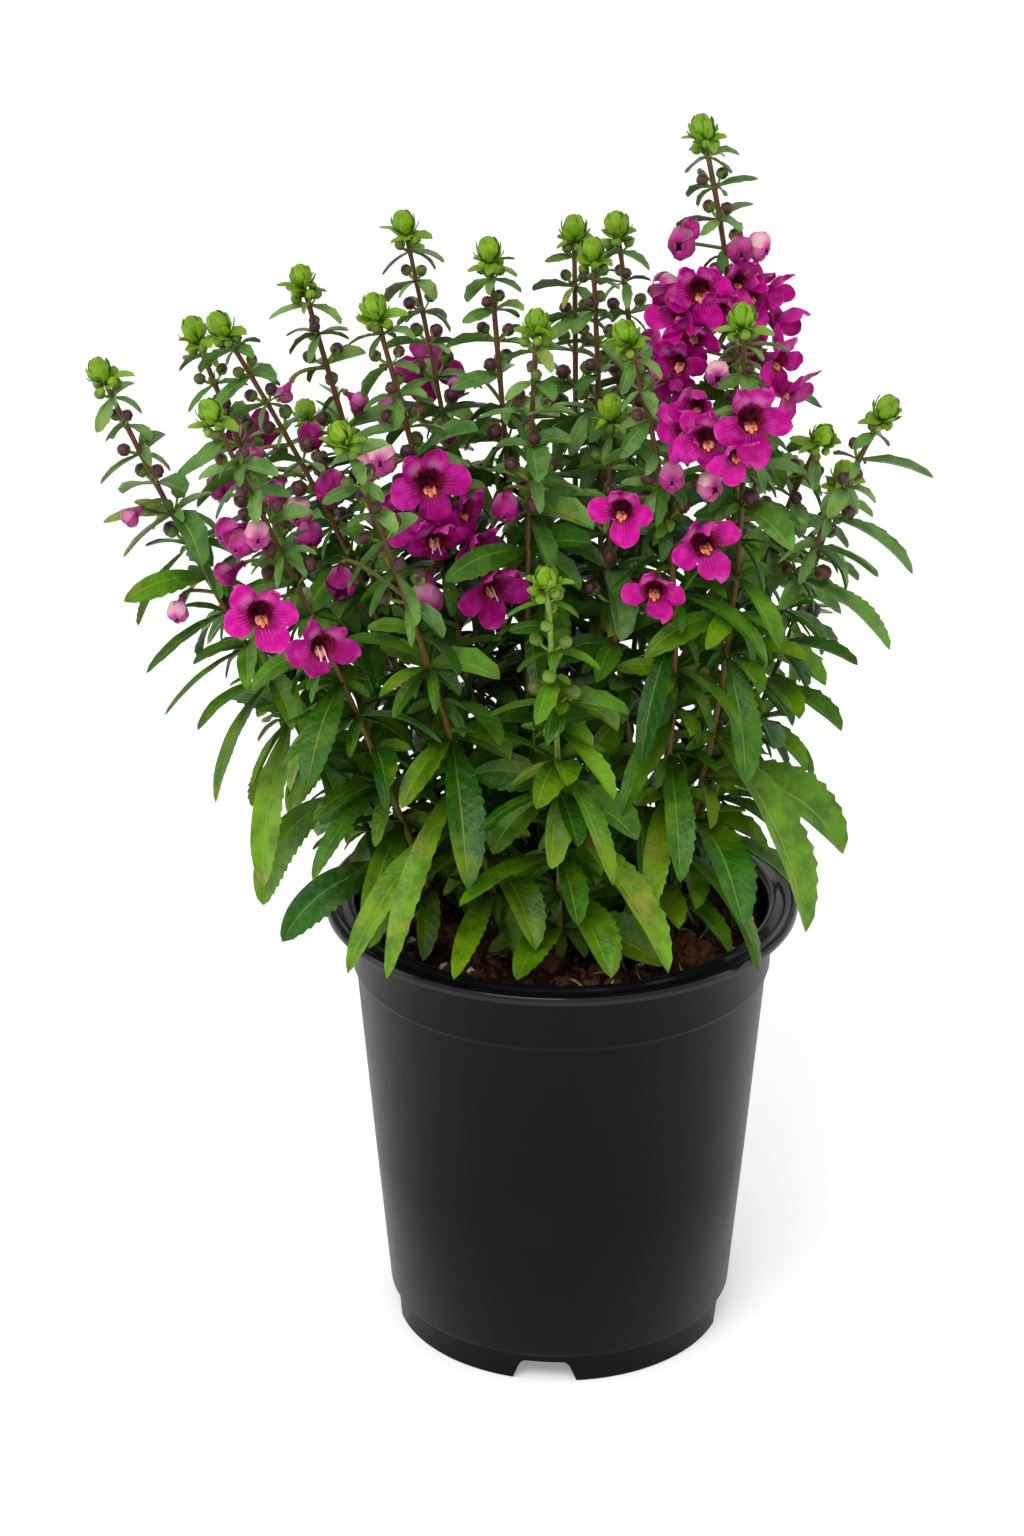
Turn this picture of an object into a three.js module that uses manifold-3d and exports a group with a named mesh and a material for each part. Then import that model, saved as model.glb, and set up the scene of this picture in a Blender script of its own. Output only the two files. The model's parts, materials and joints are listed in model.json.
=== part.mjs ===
// Potted angelonia: a flowering bedding plant in a black nursery pot.
// Millimetres, +Z up. The plant is worked out round the pot's own axis, with the pot standing on z = 0.
// At the end the whole group is moved so that the origin is under the middle of its bounding box.

import * as THREE from 'three';
import { mergeVertices } from 'three/addons/utils/BufferGeometryUtils.js';
import Module from 'manifold-3d';

const wasm = await Module();
wasm.setup();

// Driving dimensions
const POT_HEIGHT = 165.4;
const RIM_RADIUS = 84;
const RIM_TOP = 165;
const BAND_RADIUS = 74.6;
const CREST_RADIUS = 75.4;
const BAND_BOTTOM = 141;
const WALL_TOP_RADIUS = 73.2;
const WALL_BOTTOM_RADIUS = 62.2;
const FOOT_RADIUS = 59.8;
const FOOT_HEIGHT = 10.4;
const WALL_THICKNESS = 1.8;
const FOOT_THICKNESS = 2.4;
const POT_SIDES = 32;
const NOTCH_WIDTH = 19;
const NOTCH_HEIGHT = 8;
const NOTCH_ANGLES = [-95, -176, -8, 88];
const DRAIN_RADIUS = 6;
const DRAIN_RING = 42;
const DRAIN_ANGLES = [-50, -130, 130, 40];
const SOIL_TOP = 151.5;
const SOIL_LUMP = 2.2;
const SOIL_SIDES = 16;
const SOIL_CLEARANCE = 5.5;
const GAP = 0.35;

// Where two values stand in brackets, the first is for the foot or the youngest, the second for the tip or the oldest
const STEM_RADIUS = [1.8, 1.2];
const BRANCH_RADIUS = [1.6, 1.1];
const TIP_LENGTH = 14;
const TIP_RADIUS = 4.6;
const RIB_THICKNESS = 1.2;
const BUD_RADIUS = [1.8, 2.9];
const BUD_REACH = [5, 10];
const PAIR_SPACING = [10, 17];
const BRACT_LENGTH = [13, 27];
const LEAF_LENGTH = [29, 50];
const WIDTH_SHARE = [0.5, 0.31];
const BRACT_BEND = 34;
const LEAF_BEND = [48, 74];
const BRACT_LIFT = 10;
const LEAF_LIFT = 14;

// Colours
const LEAF_GREEN = 0x3f7a34;
const MAGENTA = 0xc2188f;
const BLACK_PLASTIC = 0x232426;
const SOIL_BROWN = 0x3a241b;

const DEG = Math.PI / 180;

// Small vector helpers on [x, y, z]
const add = (a, b) => [a[0] + b[0], a[1] + b[1], a[2] + b[2]];
const sub = (a, b) => [a[0] - b[0], a[1] - b[1], a[2] - b[2]];
const times = (a, k) => [a[0] * k, a[1] * k, a[2] * k];
const dot = (a, b) => a[0] * b[0] + a[1] * b[1] + a[2] * b[2];
const cross = (a, b) => [a[1] * b[2] - a[2] * b[1], a[2] * b[0] - a[0] * b[2], a[0] * b[1] - a[1] * b[0]];
const length = (a) => Math.sqrt(dot(a, a));
const unit = (a) => times(a, 1 / length(a));
const mix = (a, b, k) => a + (b - a) * k;
const ALONG_Y = [0, 1, 0];
const ALONG_Z = [0, 0, 1];

// A number from 0 to 1 that depends only on its three whole-number seeds
function chance(a, b, c) {
  let h = (a * 73856093) ^ (b * 19349663) ^ (c * 83492791);
  h = Math.imul(h ^ (h >>> 13), 1274126177);
  return ((h ^ (h >>> 16)) >>> 0) / 4294967296;
}

// Stems: node, name, where it starts, its middle and the middle of the globe of bud scales on its end.
// A start is a place in the soil, or the name of the stem it branches from and how far up that stem.
const FOOT_DEPTH = 130;
const GLOBE_RISE = 4.5;
const STEMS = [
  ['leafy_stem_01', 's1', [-22, -6], [-92, -8, 232], [-157, -10, 361]],
  ['leafy_stem_01', 's4', ['s1', 0.14], [-73, -42, 260], [-116, -60, 363]],
  ['leafy_stem_02', 's2', [-20, 12], [-82, 25, 250], [-129, 32, 363]],
  ['leafy_stem_02', 's3', ['s2', 0.16], [-64, 10, 264], [-119, 10, 371]],
  ['leafy_stem_03', 's5', [-12, 22], [-56, 27, 262], [-91, 30, 382]],
  ['leafy_stem_03', 's7', ['s5', 0.15], [-34, 46, 270], [-57, 60, 393]],
  ['leafy_stem_04', 's6', [-11, 0], [-36, -2, 264], [-65, 0, 381]],
  ['leafy_stem_05', 's8', [-15, -21], [-40, -44, 252], [-73, -70, 359]],
  ['leafy_stem_06', 's9', [-3, 11], [-15, 15, 268], [-26, 20, 395]],
  ['leafy_stem_06', 's10', ['s9', 0.2], [-12, -12, 268], [-9, -20, 382]],
  ['leafy_stem_07', 's11', [1, 30], [4, 50, 262], [3, 70, 389]],
  ['leafy_stem_07', 'b1', ['s11', 0.12], [-24, 76, 236], [-45, 98, 308]],
  ['leafy_stem_07', 'b2', ['s11', 0.2], [16, 84, 240], [22, 108, 306]],
  ['leafy_stem_08', 's12', [8, 8], [13, 14, 262], [9, 20, 395]],
  ['leafy_stem_08', 's13', ['s12', 0.2], [27, 42, 272], [17, 60, 393]],
  ['leafy_stem_09', 's14', [17, -17], [38, -28, 262], [18, -40, 384]],
  ['leafy_stem_09', 's19', ['s14', 0.24], [18, -18, 270], [16, -8, 349]],
  ['leafy_stem_10', 's15', [22, 12], [58, 14, 288], [44, 20, 437]],
  ['leafy_stem_10', 'b3', ['s15', 0.12], [56, 56, 236], [74, 80, 314]],
  ['leafy_stem_11', 's16', [27, -9], [55, -24, 262], [57, -40, 390]],
  ['leafy_stem_12', 's17', [30, 2], [66, -3, 248], [110, -10, 349]],
  ['leafy_stem_12', 's18', ['s17', 0.3], [66, 14, 272], [88, -14, 339]],
  ['leafy_stem_12', 'b5', ['s17', 0.18], [74, 34, 232], [100, 50, 306]],
  ['leafy_stem_13', 's20', [-2, -28], [-1, -52, 222], [-6, -90, 317]],
  ['leafy_stem_14', 'b4', [-24, 30], [-66, 60, 238], [-94, 80, 318]],
];

const stemPoint = (stem, t) => {
  const a = (1 - t) * (1 - t);
  const b = 2 * t * (1 - t);
  const c = t * t;
  return add(add(times(stem.foot, a), times(stem.pull, b)), times(stem.tip, c));
};

const stemHeading = (stem, t) => {
  const low = times(sub(stem.pull, stem.foot), 1 - t);
  const high = times(sub(stem.tip, stem.pull), t);
  return unit(add(low, high));
};

const MEASURE_STEPS = 40;

// How far up the stem, from 0 to 1, the point is that lies a given distance below its tip
function placeBelowTip(stem, distance) {
  let walked = 0;
  let last = stem.tip;
  for (let i = MEASURE_STEPS - 1; i >= 0; i--) {
    const here = stemPoint(stem, i / MEASURE_STEPS);
    const step = length(sub(here, last));
    if (walked + step >= distance) {
      return (i + 1 - (distance - walked) / step) / MEASURE_STEPS;
    }
    walked += step;
    last = here;
  }
  return -1;
}

const stems = [];
const stemByName = {};
for (const [node, name, start, middle, globe] of STEMS) {
  const parent = stemByName[start[0]];
  const foot = parent ? stemPoint(parent, start[1]) : [start[0], start[1], FOOT_DEPTH];
  const tip = add(globe, [0, 0, GLOBE_RISE]);
  const pull = sub(times(middle, 2), times(add(foot, tip), 0.5));
  const stem = { node, name, foot, pull, tip, parent, seed: stems.length + 1 };
  stem.radius = parent ? BRANCH_RADIUS : STEM_RADIUS;
  stem.soilTop = 0;
  while (stemPoint(stem, stem.soilTop)[2] < SOIL_TOP + SOIL_CLEARANCE) {
    stem.soilTop += 0.01;
  }
  stems.push(stem);
  stemByName[name] = stem;
}

// What already stands where: points with a radius, kept in a grid of cubes
const CELL = 6;
const CLEARANCE = 0.45;
const taken = new Map();
const cellOf = (v) => Math.floor(v / CELL);

function take(points, node, owner) {
  for (const { at, radius, nearRoot } of points) {
    const key = `${cellOf(at[0])},${cellOf(at[1])},${cellOf(at[2])}`;
    if (!taken.has(key)) {
      taken.set(key, []);
    }
    taken.get(key).push({ at, radius, nearRoot, node, owner });
  }
}

function isClear(points, node, owner) {
  for (const { at, radius, nearRoot } of points) {
    const [cx, cy, cz] = at.map(cellOf);
    for (let i = cx - 1; i <= cx + 1; i++) {
      for (let j = cy - 1; j <= cy + 1; j++) {
        for (let k = cz - 1; k <= cz + 1; k++) {
          for (const other of taken.get(`${i},${j},${k}`) ?? []) {
            const sameRoot = other.owner === owner.stem || (other.nearRoot && nearRoot);
            if (other.node === node && nearRoot && sameRoot) {
              continue;
            }
            const reach = radius + other.radius + CLEARANCE;
            const gap = sub(at, other.at);
            if (dot(gap, gap) < reach * reach) {
              return false;
            }
          }
        }
      }
    }
  }
  return true;
}

// Leaves stay above the soil, off the rim, and off the outside of the pot
const RIM_CLEARANCE = 2.6;
function clearOfPot(points) {
  return points.every(({ at }) => {
    const away = Math.hypot(at[0], at[1]);
    if (at[2] > RIM_TOP + RIM_CLEARANCE || away > RIM_RADIUS + RIM_CLEARANCE) {
      return true;
    }
    return away < BAND_RADIUS - 2 * RIM_CLEARANCE && at[2] > SOIL_TOP + SOIL_CLEARANCE;
  });
}

// Blooms: node, stem, middle of the throat, width across, how open it is,
// and the way it faces: turned from +X, raised, and leaning to one side, in degrees.
const BLOOMS = [
  ['bloom_01', 's6', [-45, -24, 327], 25, 1, -84, 12, 8],
  ['bloom_01', 's6', [-54, -20, 315], 19, 0.9, -120, -4, -10],
  ['bloom_01', 's6', [-43, -22, 306], 22, 0.9, -78, -22, 0],
  ['bloom_02', 's6', [-33, -12, 313], 19, 0.8, -40, 0, 0],
  ['bloom_02', 's6', [-30, -12, 301], 16, 0.7, -50, -20, 0],
  ['bloom_03', 's6', [-46, -17, 287], 16, 0.5, -100, -35, 0],
  ['bloom_04', 's6', [-24, -22, 289], 20, 0.65, -65, -12, 0],
  ['bloom_05', 's4', [-99, -68, 297], 24, 1, -82, 4, 12],
  ['bloom_06', 's4', [-79, -66, 285], 22, 0.95, -68, 2, -6],
  ['bloom_07', 's4', [-100, -62, 323], 13, 0.35, -80, 0, 0],
  ['bloom_07', 's4', [-104, -61, 320], 13, 0.35, -110, -5, 0],
  ['bloom_07', 's4', [-107, -60, 323], 13, 0.35, -130, 0, 0],
  ['bloom_08', 's4', [-109, -52, 306], 11, 0.3, -150, -20, 0],
  ['bloom_09', 's5', [-90, 10, 306], 14, 0.35, -100, -5, 0],
  ['bloom_09', 's5', [-88, 6, 300], 14, 0.35, -75, -25, 0],
  ['bloom_10', 's5', [-80, 8, 315], 16, 0.4, -80, 0, 0],
  ['bloom_11', 's5', [-86, 16, 330], 13, 0.4, -100, 10, 0],
  ['bloom_12', 's6', [-60, -13, 332], 15, 0.35, -100, 8, 0],
  ['bloom_12', 's6', [-64, -12, 329], 14, 0.4, -140, -10, 0],
  ['bloom_13', 's3', [-97, -2, 317], 13, 0.3, -110, -20, 0],
  ['bloom_14', 's1', [-130, -20, 281], 11, 0.4, -100, -25, 0],
  ['bloom_15', 's1', [-144, -20, 314], 9, 0.25, -140, -30, 0],
  ['bloom_16', 's5', [-95, 20, 345], 9, 0.25, -170, -60, 0],
  ['bloom_17', 's5', [-72, 20, 342], 10, 0.3, -40, -20, 0],
  ['bloom_18', 's9', [-38, 14, 333], 10, 0.3, -150, -30, 0],
  ['bloom_19', 's9', [-35, 28, 345], 9, 0.3, 160, -30, 0],
  ['bloom_20', 's10', [-19, -28, 322], 14, 0.35, -95, -20, 0],
  ['bloom_21', 's15', [40, 6, 401], 14, 0.4, -110, 15, 0],
  ['bloom_21', 's15', [42, 7, 405], 10, 0.3, -100, 20, 0],
  ['bloom_22', 's15', [62, 12, 399], 13, 0.35, -40, 0, 0],
  ['bloom_22', 's15', [58, 10, 398], 13, 0.35, -85, 5, 0],
  ['bloom_23', 's15', [45, 2, 386], 22, 0.85, -96, 6, 6],
  ['bloom_23', 's15', [37, 8, 385], 14, 0.5, -140, 5, 0],
  ['bloom_23', 's15', [38, 6, 377], 17, 0.6, -130, 0, 0],
  ['bloom_23', 's15', [51, 4, 379], 16, 0.7, -84, -20, 0],
  ['bloom_23', 's15', [43, 3, 370], 17, 0.7, -104, -15, 0],
  ['bloom_24', 's15', [38, 2, 361], 19, 0.8, -120, -8, 0],
  ['bloom_24', 's15', [38, 2, 353], 15, 0.6, -116, -28, 0],
  ['bloom_25', 's15', [58, 6, 388], 15, 0.6, -75, 5, 0],
  ['bloom_25', 's15', [63, 9, 383], 18, 0.7, -50, 5, 0],
  ['bloom_25', 's15', [69, 16, 380], 15, 0.6, -30, 5, 0],
  ['bloom_25', 's15', [72, 16, 371], 16, 0.6, -25, -20, 0],
  ['bloom_26', 's15', [72, 4, 361], 18, 0.75, -45, -5, 0],
  ['bloom_26', 's15', [76, 2, 351], 17, 0.65, -35, -20, 0],
  ['bloom_27', 's15', [51, -4, 360], 12, 0.4, -90, 0, 0],
  ['bloom_28', 's16', [60, -58, 361], 24, 1, -82, 10, 4],
  ['bloom_28', 's16', [56, -56, 348], 17, 0.7, -80, -25, 0],
  ['bloom_28', 's16', [46, -54, 353], 21, 0.9, -104, 4, 14],
  ['bloom_28', 's16', [43, -50, 363], 15, 0.55, -110, 10, 0],
  ['bloom_28', 's16', [38, -46, 353], 17, 0.7, -140, 0, 0],
  ['bloom_30', 's14', [19, -50, 327], 20, 0.9, -98, 2, -4],
  ['bloom_31', 's14', [35, -52, 340], 13, 0.35, -90, 0, 0],
  ['bloom_32', 's14', [46, -48, 315], 23, 1, -78, 4, 24],
  ['bloom_33', 's14', [30, -50, 299], 20, 0.9, -92, -12, 0],
  ['bloom_34', 's14', [46, -42, 333], 13, 0.4, -60, 10, 0],
  ['bloom_35', 's7', [-48, 76, 336], 22, 1, 95, 5, 0],
  ['bloom_36', 's7', [-58, 72, 320], 16, 0.5, 130, -15, 0],
  ['bloom_37', 's13', [26, 76, 338], 23, 1, 88, 6, 0],
  ['bloom_38', 's13', [34, 70, 320], 16, 0.5, 60, -15, 0],
  ['bloom_39', 's15', [60, 34, 376], 22, 0.95, 60, 8, 0],
  ['bloom_40', 's15', [62, 36, 354], 19, 0.8, 50, -8, 0],
  ['bloom_41', 's2', [-110, 50, 318], 21, 0.95, 110, 4, 0],
  ['bloom_42', 's2', [-118, 44, 302], 14, 0.4, 150, -20, 0],
  ['bloom_43', 's8', [-74, -38, 299], 14, 0.45, -90, -15, 0],
  ['bloom_29', 's3', [-104, -6, 330], 11, 0.3, -95, 0, 0],
];

// Lobes of a bloom, seen from the front: angle, half angle and reach as a share of the width
const LOBES = [
  [62, 25, 0.47],
  [118, 25, 0.47],
  [192, 27, 0.5],
  [270, 27, 0.56],
  [348, 27, 0.5],
];
const THROAT_RADIUS = 0.16;
const THROAT_DEPTH = 0.26;
const TUBE_DEPTH = 0.44;
const NOTCH_REACH = 0.3;
const SHOULDER_SHARE = 0.86;
const COLLAR_RADIUS = 0.18;
const COLLAR_DEPTH = 0.11;
const CLOSED_FOLD = 78;
const OPEN_FOLD = -4;

const blooms = BLOOMS.map(([node, stemName, at, width, open, turn, raise, lean]) => {
  const face = [
    Math.cos(turn * DEG) * Math.cos(raise * DEG),
    Math.sin(turn * DEG) * Math.cos(raise * DEG),
    Math.sin(raise * DEG),
  ];
  const level = unit(cross(ALONG_Z, face));
  const upright = cross(face, level);
  const c = Math.cos(lean * DEG);
  const s = Math.sin(lean * DEG);
  const right = add(times(level, c), times(upright, s));
  const up = add(times(upright, c), times(level, -s));
  return { node, stem: stemByName[stemName], at, width, open, face, right, up };
});

// A point of a bloom from its own right, up and forward distances
const bloomPoint = (bloom, x, y, z) =>
  add(bloom.at, add(times(bloom.right, x), add(times(bloom.up, y), times(bloom.face, z))));

// A point of a petal: its angle round the throat, and its reach past the throat's edge, all as shares of the width
function petalPoint(bloom, angle, reach) {
  const fold = mix(CLOSED_FOLD, OPEN_FOLD, bloom.open) * DEG;
  const beyond = reach - THROAT_RADIUS;
  const out = (THROAT_RADIUS + beyond * Math.cos(fold)) * bloom.width;
  const forward = beyond * Math.sin(fold) * bloom.width;
  return bloomPoint(bloom, out * Math.cos(angle * DEG), out * Math.sin(angle * DEG), forward);
}

function bloomMarks(bloom) {
  const marks = [];
  const mark = (at, radius) => marks.push({ at, radius });
  for (const depth of [0, 0.15, 0.3, TUBE_DEPTH]) {
    mark(bloomPoint(bloom, 0, 0, -depth * bloom.width), mix(0.17, 0.04, depth / TUBE_DEPTH) * bloom.width);
  }
  for (const [angle, half, reach] of LOBES) {
    mark(petalPoint(bloom, angle, 0.27), 1.4);
    for (const side of [-0.8, 0, 0.8]) {
      mark(petalPoint(bloom, angle + side * half, reach * 0.72), 1.4);
      mark(petalPoint(bloom, angle + side * half, reach * 0.98), 1.2);
    }
  }
  return marks;
}

// Flower stalks: each bends from its stem to the back of its bloom
const STALK_RADIUS = [0.8, 1.5];
const STALK_SIDES = 3;
const stalkPoint = (stalk, t) => {
  const a = (1 - t) * (1 - t);
  const b = 2 * t * (1 - t);
  return add(add(times(stalk.foot, a), times(stalk.pull, b)), times(stalk.tip, t * t));
};
const stalkHeading = (stalk, t) => unit(add(
  times(sub(stalk.pull, stalk.foot), 1 - t),
  times(sub(stalk.tip, stalk.pull), t),
));

function stalkOf(bloom) {
  const { stem } = bloom;
  const back = bloomPoint(bloom, 0, 0, -TUBE_DEPTH * bloom.width);
  let best = 0.5;
  let nearest = Infinity;
  for (let i = 4; i <= 38; i++) {
    const here = stemPoint(stem, i / MEASURE_STEPS);
    const wanted = sub(here, add(back, [0, 0, -4]));
    const away = dot(wanted, wanted);
    if (away < nearest) {
      nearest = away;
      best = i / MEASURE_STEPS;
    }
  }
  const foot = stemPoint(stem, best);
  const tip = bloomPoint(bloom, 0, 0, -TUBE_DEPTH * bloom.width - GAP);
  const pull = sub(tip, times(bloom.face, 0.3 * length(sub(tip, foot))));
  return { node: stem.node, stem, foot, tip, pull, radius: STALK_RADIUS };
}

function stalkMarks(stalk) {
  const marks = [];
  const count = Math.max(3, Math.ceil(length(sub(stalk.tip, stalk.foot)) / 2));
  for (let i = 1; i < count; i++) {
    marks.push({ at: stalkPoint(stalk, i / count), radius: 0.9 });
  }
  return marks;
}

// Leaves. The midrib is an arc in an upright plane: it leaves the stem at an angle above the level
// and bends down evenly. u runs across the blade from -1 to 1, t along it from 0 to 1.
function leafBetween(stem, at, tip, width, bend, roll) {
  const root = stemPoint(stem, at);
  const chord = sub(tip, root);
  const turn = bend * DEG;
  return {
    node: stem.node,
    stem,
    root,
    heading: Math.atan2(chord[1], chord[0]),
    rise: Math.asin(chord[2] / length(chord)) + turn / 2,
    bend: turn,
    length: length(chord) * (turn / 2) / Math.sin(turn / 2),
    width,
    roll: roll * DEG,
    byHand: true,
  };
}

// Outlines: how fast a blade widens from its root and narrows to its tip. Bracts are widest in the middle.
const LEAF_OUTLINE = [0.95, 0.7];
const BRACT_OUTLINE = [0.75, 0.65];
const FOLD_LIFT = 0.28;

function widthAt(leaf, t) {
  const [widen, narrow] = leaf.length < LEAF_LENGTH[0] ? BRACT_OUTLINE : LEAF_OUTLINE;
  const peak = (widen ** widen) * (narrow ** narrow) / (widen + narrow) ** (widen + narrow);
  return t ** widen * (1 - t) ** narrow / peak;
}

function leafFrame(leaf, t) {
  const angle = leaf.rise - leaf.bend * t;
  const outward = leaf.length * (Math.sin(leaf.rise) - Math.sin(angle)) / leaf.bend;
  const upward = leaf.length * (Math.cos(angle) - Math.cos(leaf.rise)) / leaf.bend;
  const c = Math.cos(leaf.heading);
  const s = Math.sin(leaf.heading);
  const level = [-s, c, 0];
  const above = [-Math.sin(angle) * c, -Math.sin(angle) * s, Math.cos(angle)];
  const cr = Math.cos(leaf.roll);
  const sr = Math.sin(leaf.roll);
  return {
    rib: add(leaf.root, [outward * c, outward * s, upward]),
    side: add(times(level, cr), times(above, sr)),
    normal: add(times(above, cr), times(level, -sr)),
  };
}

function leafPoint(leaf, t, u, share = 1) {
  const { rib, side, normal } = leafFrame(leaf, t);
  const half = (leaf.width / 2) * widthAt(leaf, t) * share;
  return add(rib, add(times(side, u * half), times(normal, Math.abs(u) * half * FOLD_LIFT)));
}

const MARK_STEP = 2.6;
const BLADE_MARK = 1.05;
const ROOT_SHARE = 0.22;

function leafMarks(leaf) {
  const marks = [];
  const rows = Math.max(3, Math.ceil(leaf.length / MARK_STEP));
  for (let i = 1; i <= rows; i++) {
    const t = i / rows;
    const half = (leaf.width / 2) * widthAt(leaf, t);
    const columns = Math.ceil(half / MARK_STEP);
    for (let j = -columns; j <= columns; j++) {
      marks.push({
        at: leafPoint(leaf, t, columns ? j / columns : 0),
        radius: BLADE_MARK,
        nearRoot: t < ROOT_SHARE,
      });
    }
  }
  return marks;
}

// Leaves that show best, each placed by hand: stem, how far up it, tip, width, bend and roll in degrees
const SHOWN_LEAVES = [
  ['s1', 0.48, [-104, -24, 178], 15, 40, 0],
  ['s1', 0.55, [-120, -20, 208], 10, 40, 0],
  ['s1', 0.64, [-137, -16, 239], 8, 30, 0],
  ['s1', 0.71, [-142, -22, 257], 11, 30, 0],
  ['s1', 0.74, [-147, 2, 265], 8, 25, 0],
  ['s4', 0.47, [-94, -58, 238], 9, 50, 0],
  ['s4', 0.4, [-58, -72, 236], 11, 60, 0],
  ['s4', 0.33, [-84, -62, 198], 10, 60, 0],
  ['s8', 0.3, [-72, -76, 170], 15, 60, 0],
  ['s8', 0.36, [-58, -92, 176], 11, 50, 0],
  ['s8', 0.44, [-31, -85, 206], 15, 50, 0],
  ['s20', 0.56, [-28, -82, 225], 9, 40, 0],
  ['s20', 0.45, [-34, -86, 200], 11, 40, 0],
  ['s8', 0.2, [-36, -84, 172], 11, 40, 0],
  ['s20', 0.24, [-15, -76, 168], 15, 50, 0],
  ['s20', 0.3, [17, -74, 168], 16, 60, 0],
  ['s20', 0.4, [36, -78, 172], 16, 50, 0],
  ['s20', 0.5, [17, -86, 208], 9, 40, 0],
  ['s14', 0.3, [30, -64, 188], 11, 50, 0],
  ['s14', 0.4, [40, -66, 200], 12, 50, 0],
  ['s14', 0.24, [40, -52, 176], 13, 40, 0],
  ['s16', 0.4, [84, -46, 172], 21, 50, 0],
  ['s20', 0.65, [17, -84, 238], 10, 40, 0],
  ['s14', 0.46, [20, -62, 222], 11, 50, 0],
  ['s16', 0.5, [62, -46, 228], 13, 50, 0],
  ['s17', 0.45, [84, -22, 222], 12, 50, 0],
  ['s14', 0.52, [26, -62, 240], 10, 60, 0],
  ['s20', 0.6, [-38, -64, 254], 10, 40, 0],
  ['s8', 0.55, [-60, -74, 270], 9, 40, 0],
  ['s17', 0.88, [124, -14, 326], 9, 30, 0],
  ['s17', 0.79, [118, -18, 293], 11, 45, 0],
  ['s17', 0.72, [111, -22, 267], 12, 45, 0],
  ['s17', 0.65, [100, -26, 263], 11, 40, 0],
  ['s17', 0.6, [80, -38, 248], 13, 50, 0],
  ['s16', 0.6, [72, -46, 276], 10, 45, 0],
];

// Places for pairs of leaves, from the tip of each stem down, each pair turned a quarter from the one above
const FIRST_PAIR = 15;
const BUD_ZONE = 78;
const OLD_ZONE = 160;
const LOWEST_LEAF = 163;
const CROTCH = 0.08;
const TURN_PER_STEM = 37;

for (const stem of stems) {
  stem.pairs = [];
  let below = FIRST_PAIR;
  let at = placeBelowTip(stem, below);
  while (at > (stem.parent ? CROTCH : 0) && stemPoint(stem, at)[2] > LOWEST_LEAF) {
    stem.pairs.push({ stem, level: stem.pairs.length, below, at, leaves: [null, null], buds: [null, null] });
    below += mix(...PAIR_SPACING, Math.min(1, below / OLD_ZONE));
    at = placeBelowTip(stem, below);
  }
}

// The way that one side of a pair faces, square to the stem
function pairFacing({ stem, level, at }, side, turnBy) {
  const heading = stemHeading(stem, at);
  const across = unit(cross(heading, ALONG_Y));
  const beside = cross(heading, across);
  const angle = (level * 90 + side * 180 + stem.seed * TURN_PER_STEM + turnBy) * DEG;
  return add(times(across, Math.cos(angle)), times(beside, Math.sin(angle)));
}

function grow(pair, side, leaf) {
  const marks = leafMarks(leaf);
  if (pair.leaves[side] || !clearOfPot(marks) || !isClear(marks, leaf.node, leaf)) {
    return false;
  }
  take(marks, leaf.node, leaf);
  pair.leaves[side] = leaf;
  return true;
}

for (const stem of stems) {
  const count = Math.ceil(length(sub(stem.tip, stem.foot)) / 2);
  const marks = [];
  for (let i = 0; i <= count; i++) {
    marks.push({ at: stemPoint(stem, i / count), radius: mix(...stem.radius, i / count) });
  }
  const tipMiddle = sub(stem.tip, times(stemHeading(stem, 1), TIP_LENGTH / 2));
  marks.push({ at: tipMiddle, radius: TIP_RADIUS }, { at: stem.tip, radius: 2 });
  take(marks, stem.node, stem);
}
for (const bloom of blooms) {
  take(bloomMarks(bloom), bloom.node, bloom);
}
const stalks = [];
const stalked = new Set();
for (const bloom of blooms) {
  const stalk = stalkOf(bloom);
  const marks = stalkMarks(stalk);
  if (!stalked.has(bloom.node) || isClear(marks, stalk.node, stalk)) {
    take(marks, stalk.node, stalk);
    stalks.push(stalk);
    stalked.add(bloom.node);
  }
}

// A leaf placed by hand takes the nearest free place that faces its way
const TURN_COST = 30;
for (const [stemName, at, tip, width, bend, roll] of SHOWN_LEAVES) {
  const stem = stemByName[stemName];
  const wanted = stemPoint(stem, at);
  const choices = [];
  for (const pair of stem.pairs) {
    for (const side of [0, 1]) {
      const root = stemPoint(stem, pair.at);
      const miss = dot(unit(sub(tip, root)), pairFacing(pair, side, 0));
      choices.push({ pair, side, cost: length(sub(root, wanted)) + TURN_COST * (1 - miss) });
    }
  }
  choices.sort((p, q) => p.cost - q.cost);
  for (const { pair, side } of choices.slice(0, 6)) {
    if (grow(pair, side, leafBetween(stem, pair.at, tip, width, bend, roll))) {
      break;
    }
  }
}

// The rest of the leaves, from the tips down. A leaf that would meet another is tried turned, raised,
// lowered or smaller, and left out if none is clear.
const TRIES = [
  [0, 0, 1], [16, 0, 1], [-16, 0, 1], [0, 14, 0.95], [0, -18, 0.95], [28, 6, 0.9],
  [-28, 6, 0.9], [0, 30, 0.85], [0, -34, 0.85], [20, 20, 0.7], [-20, -20, 0.7],
];

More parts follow.
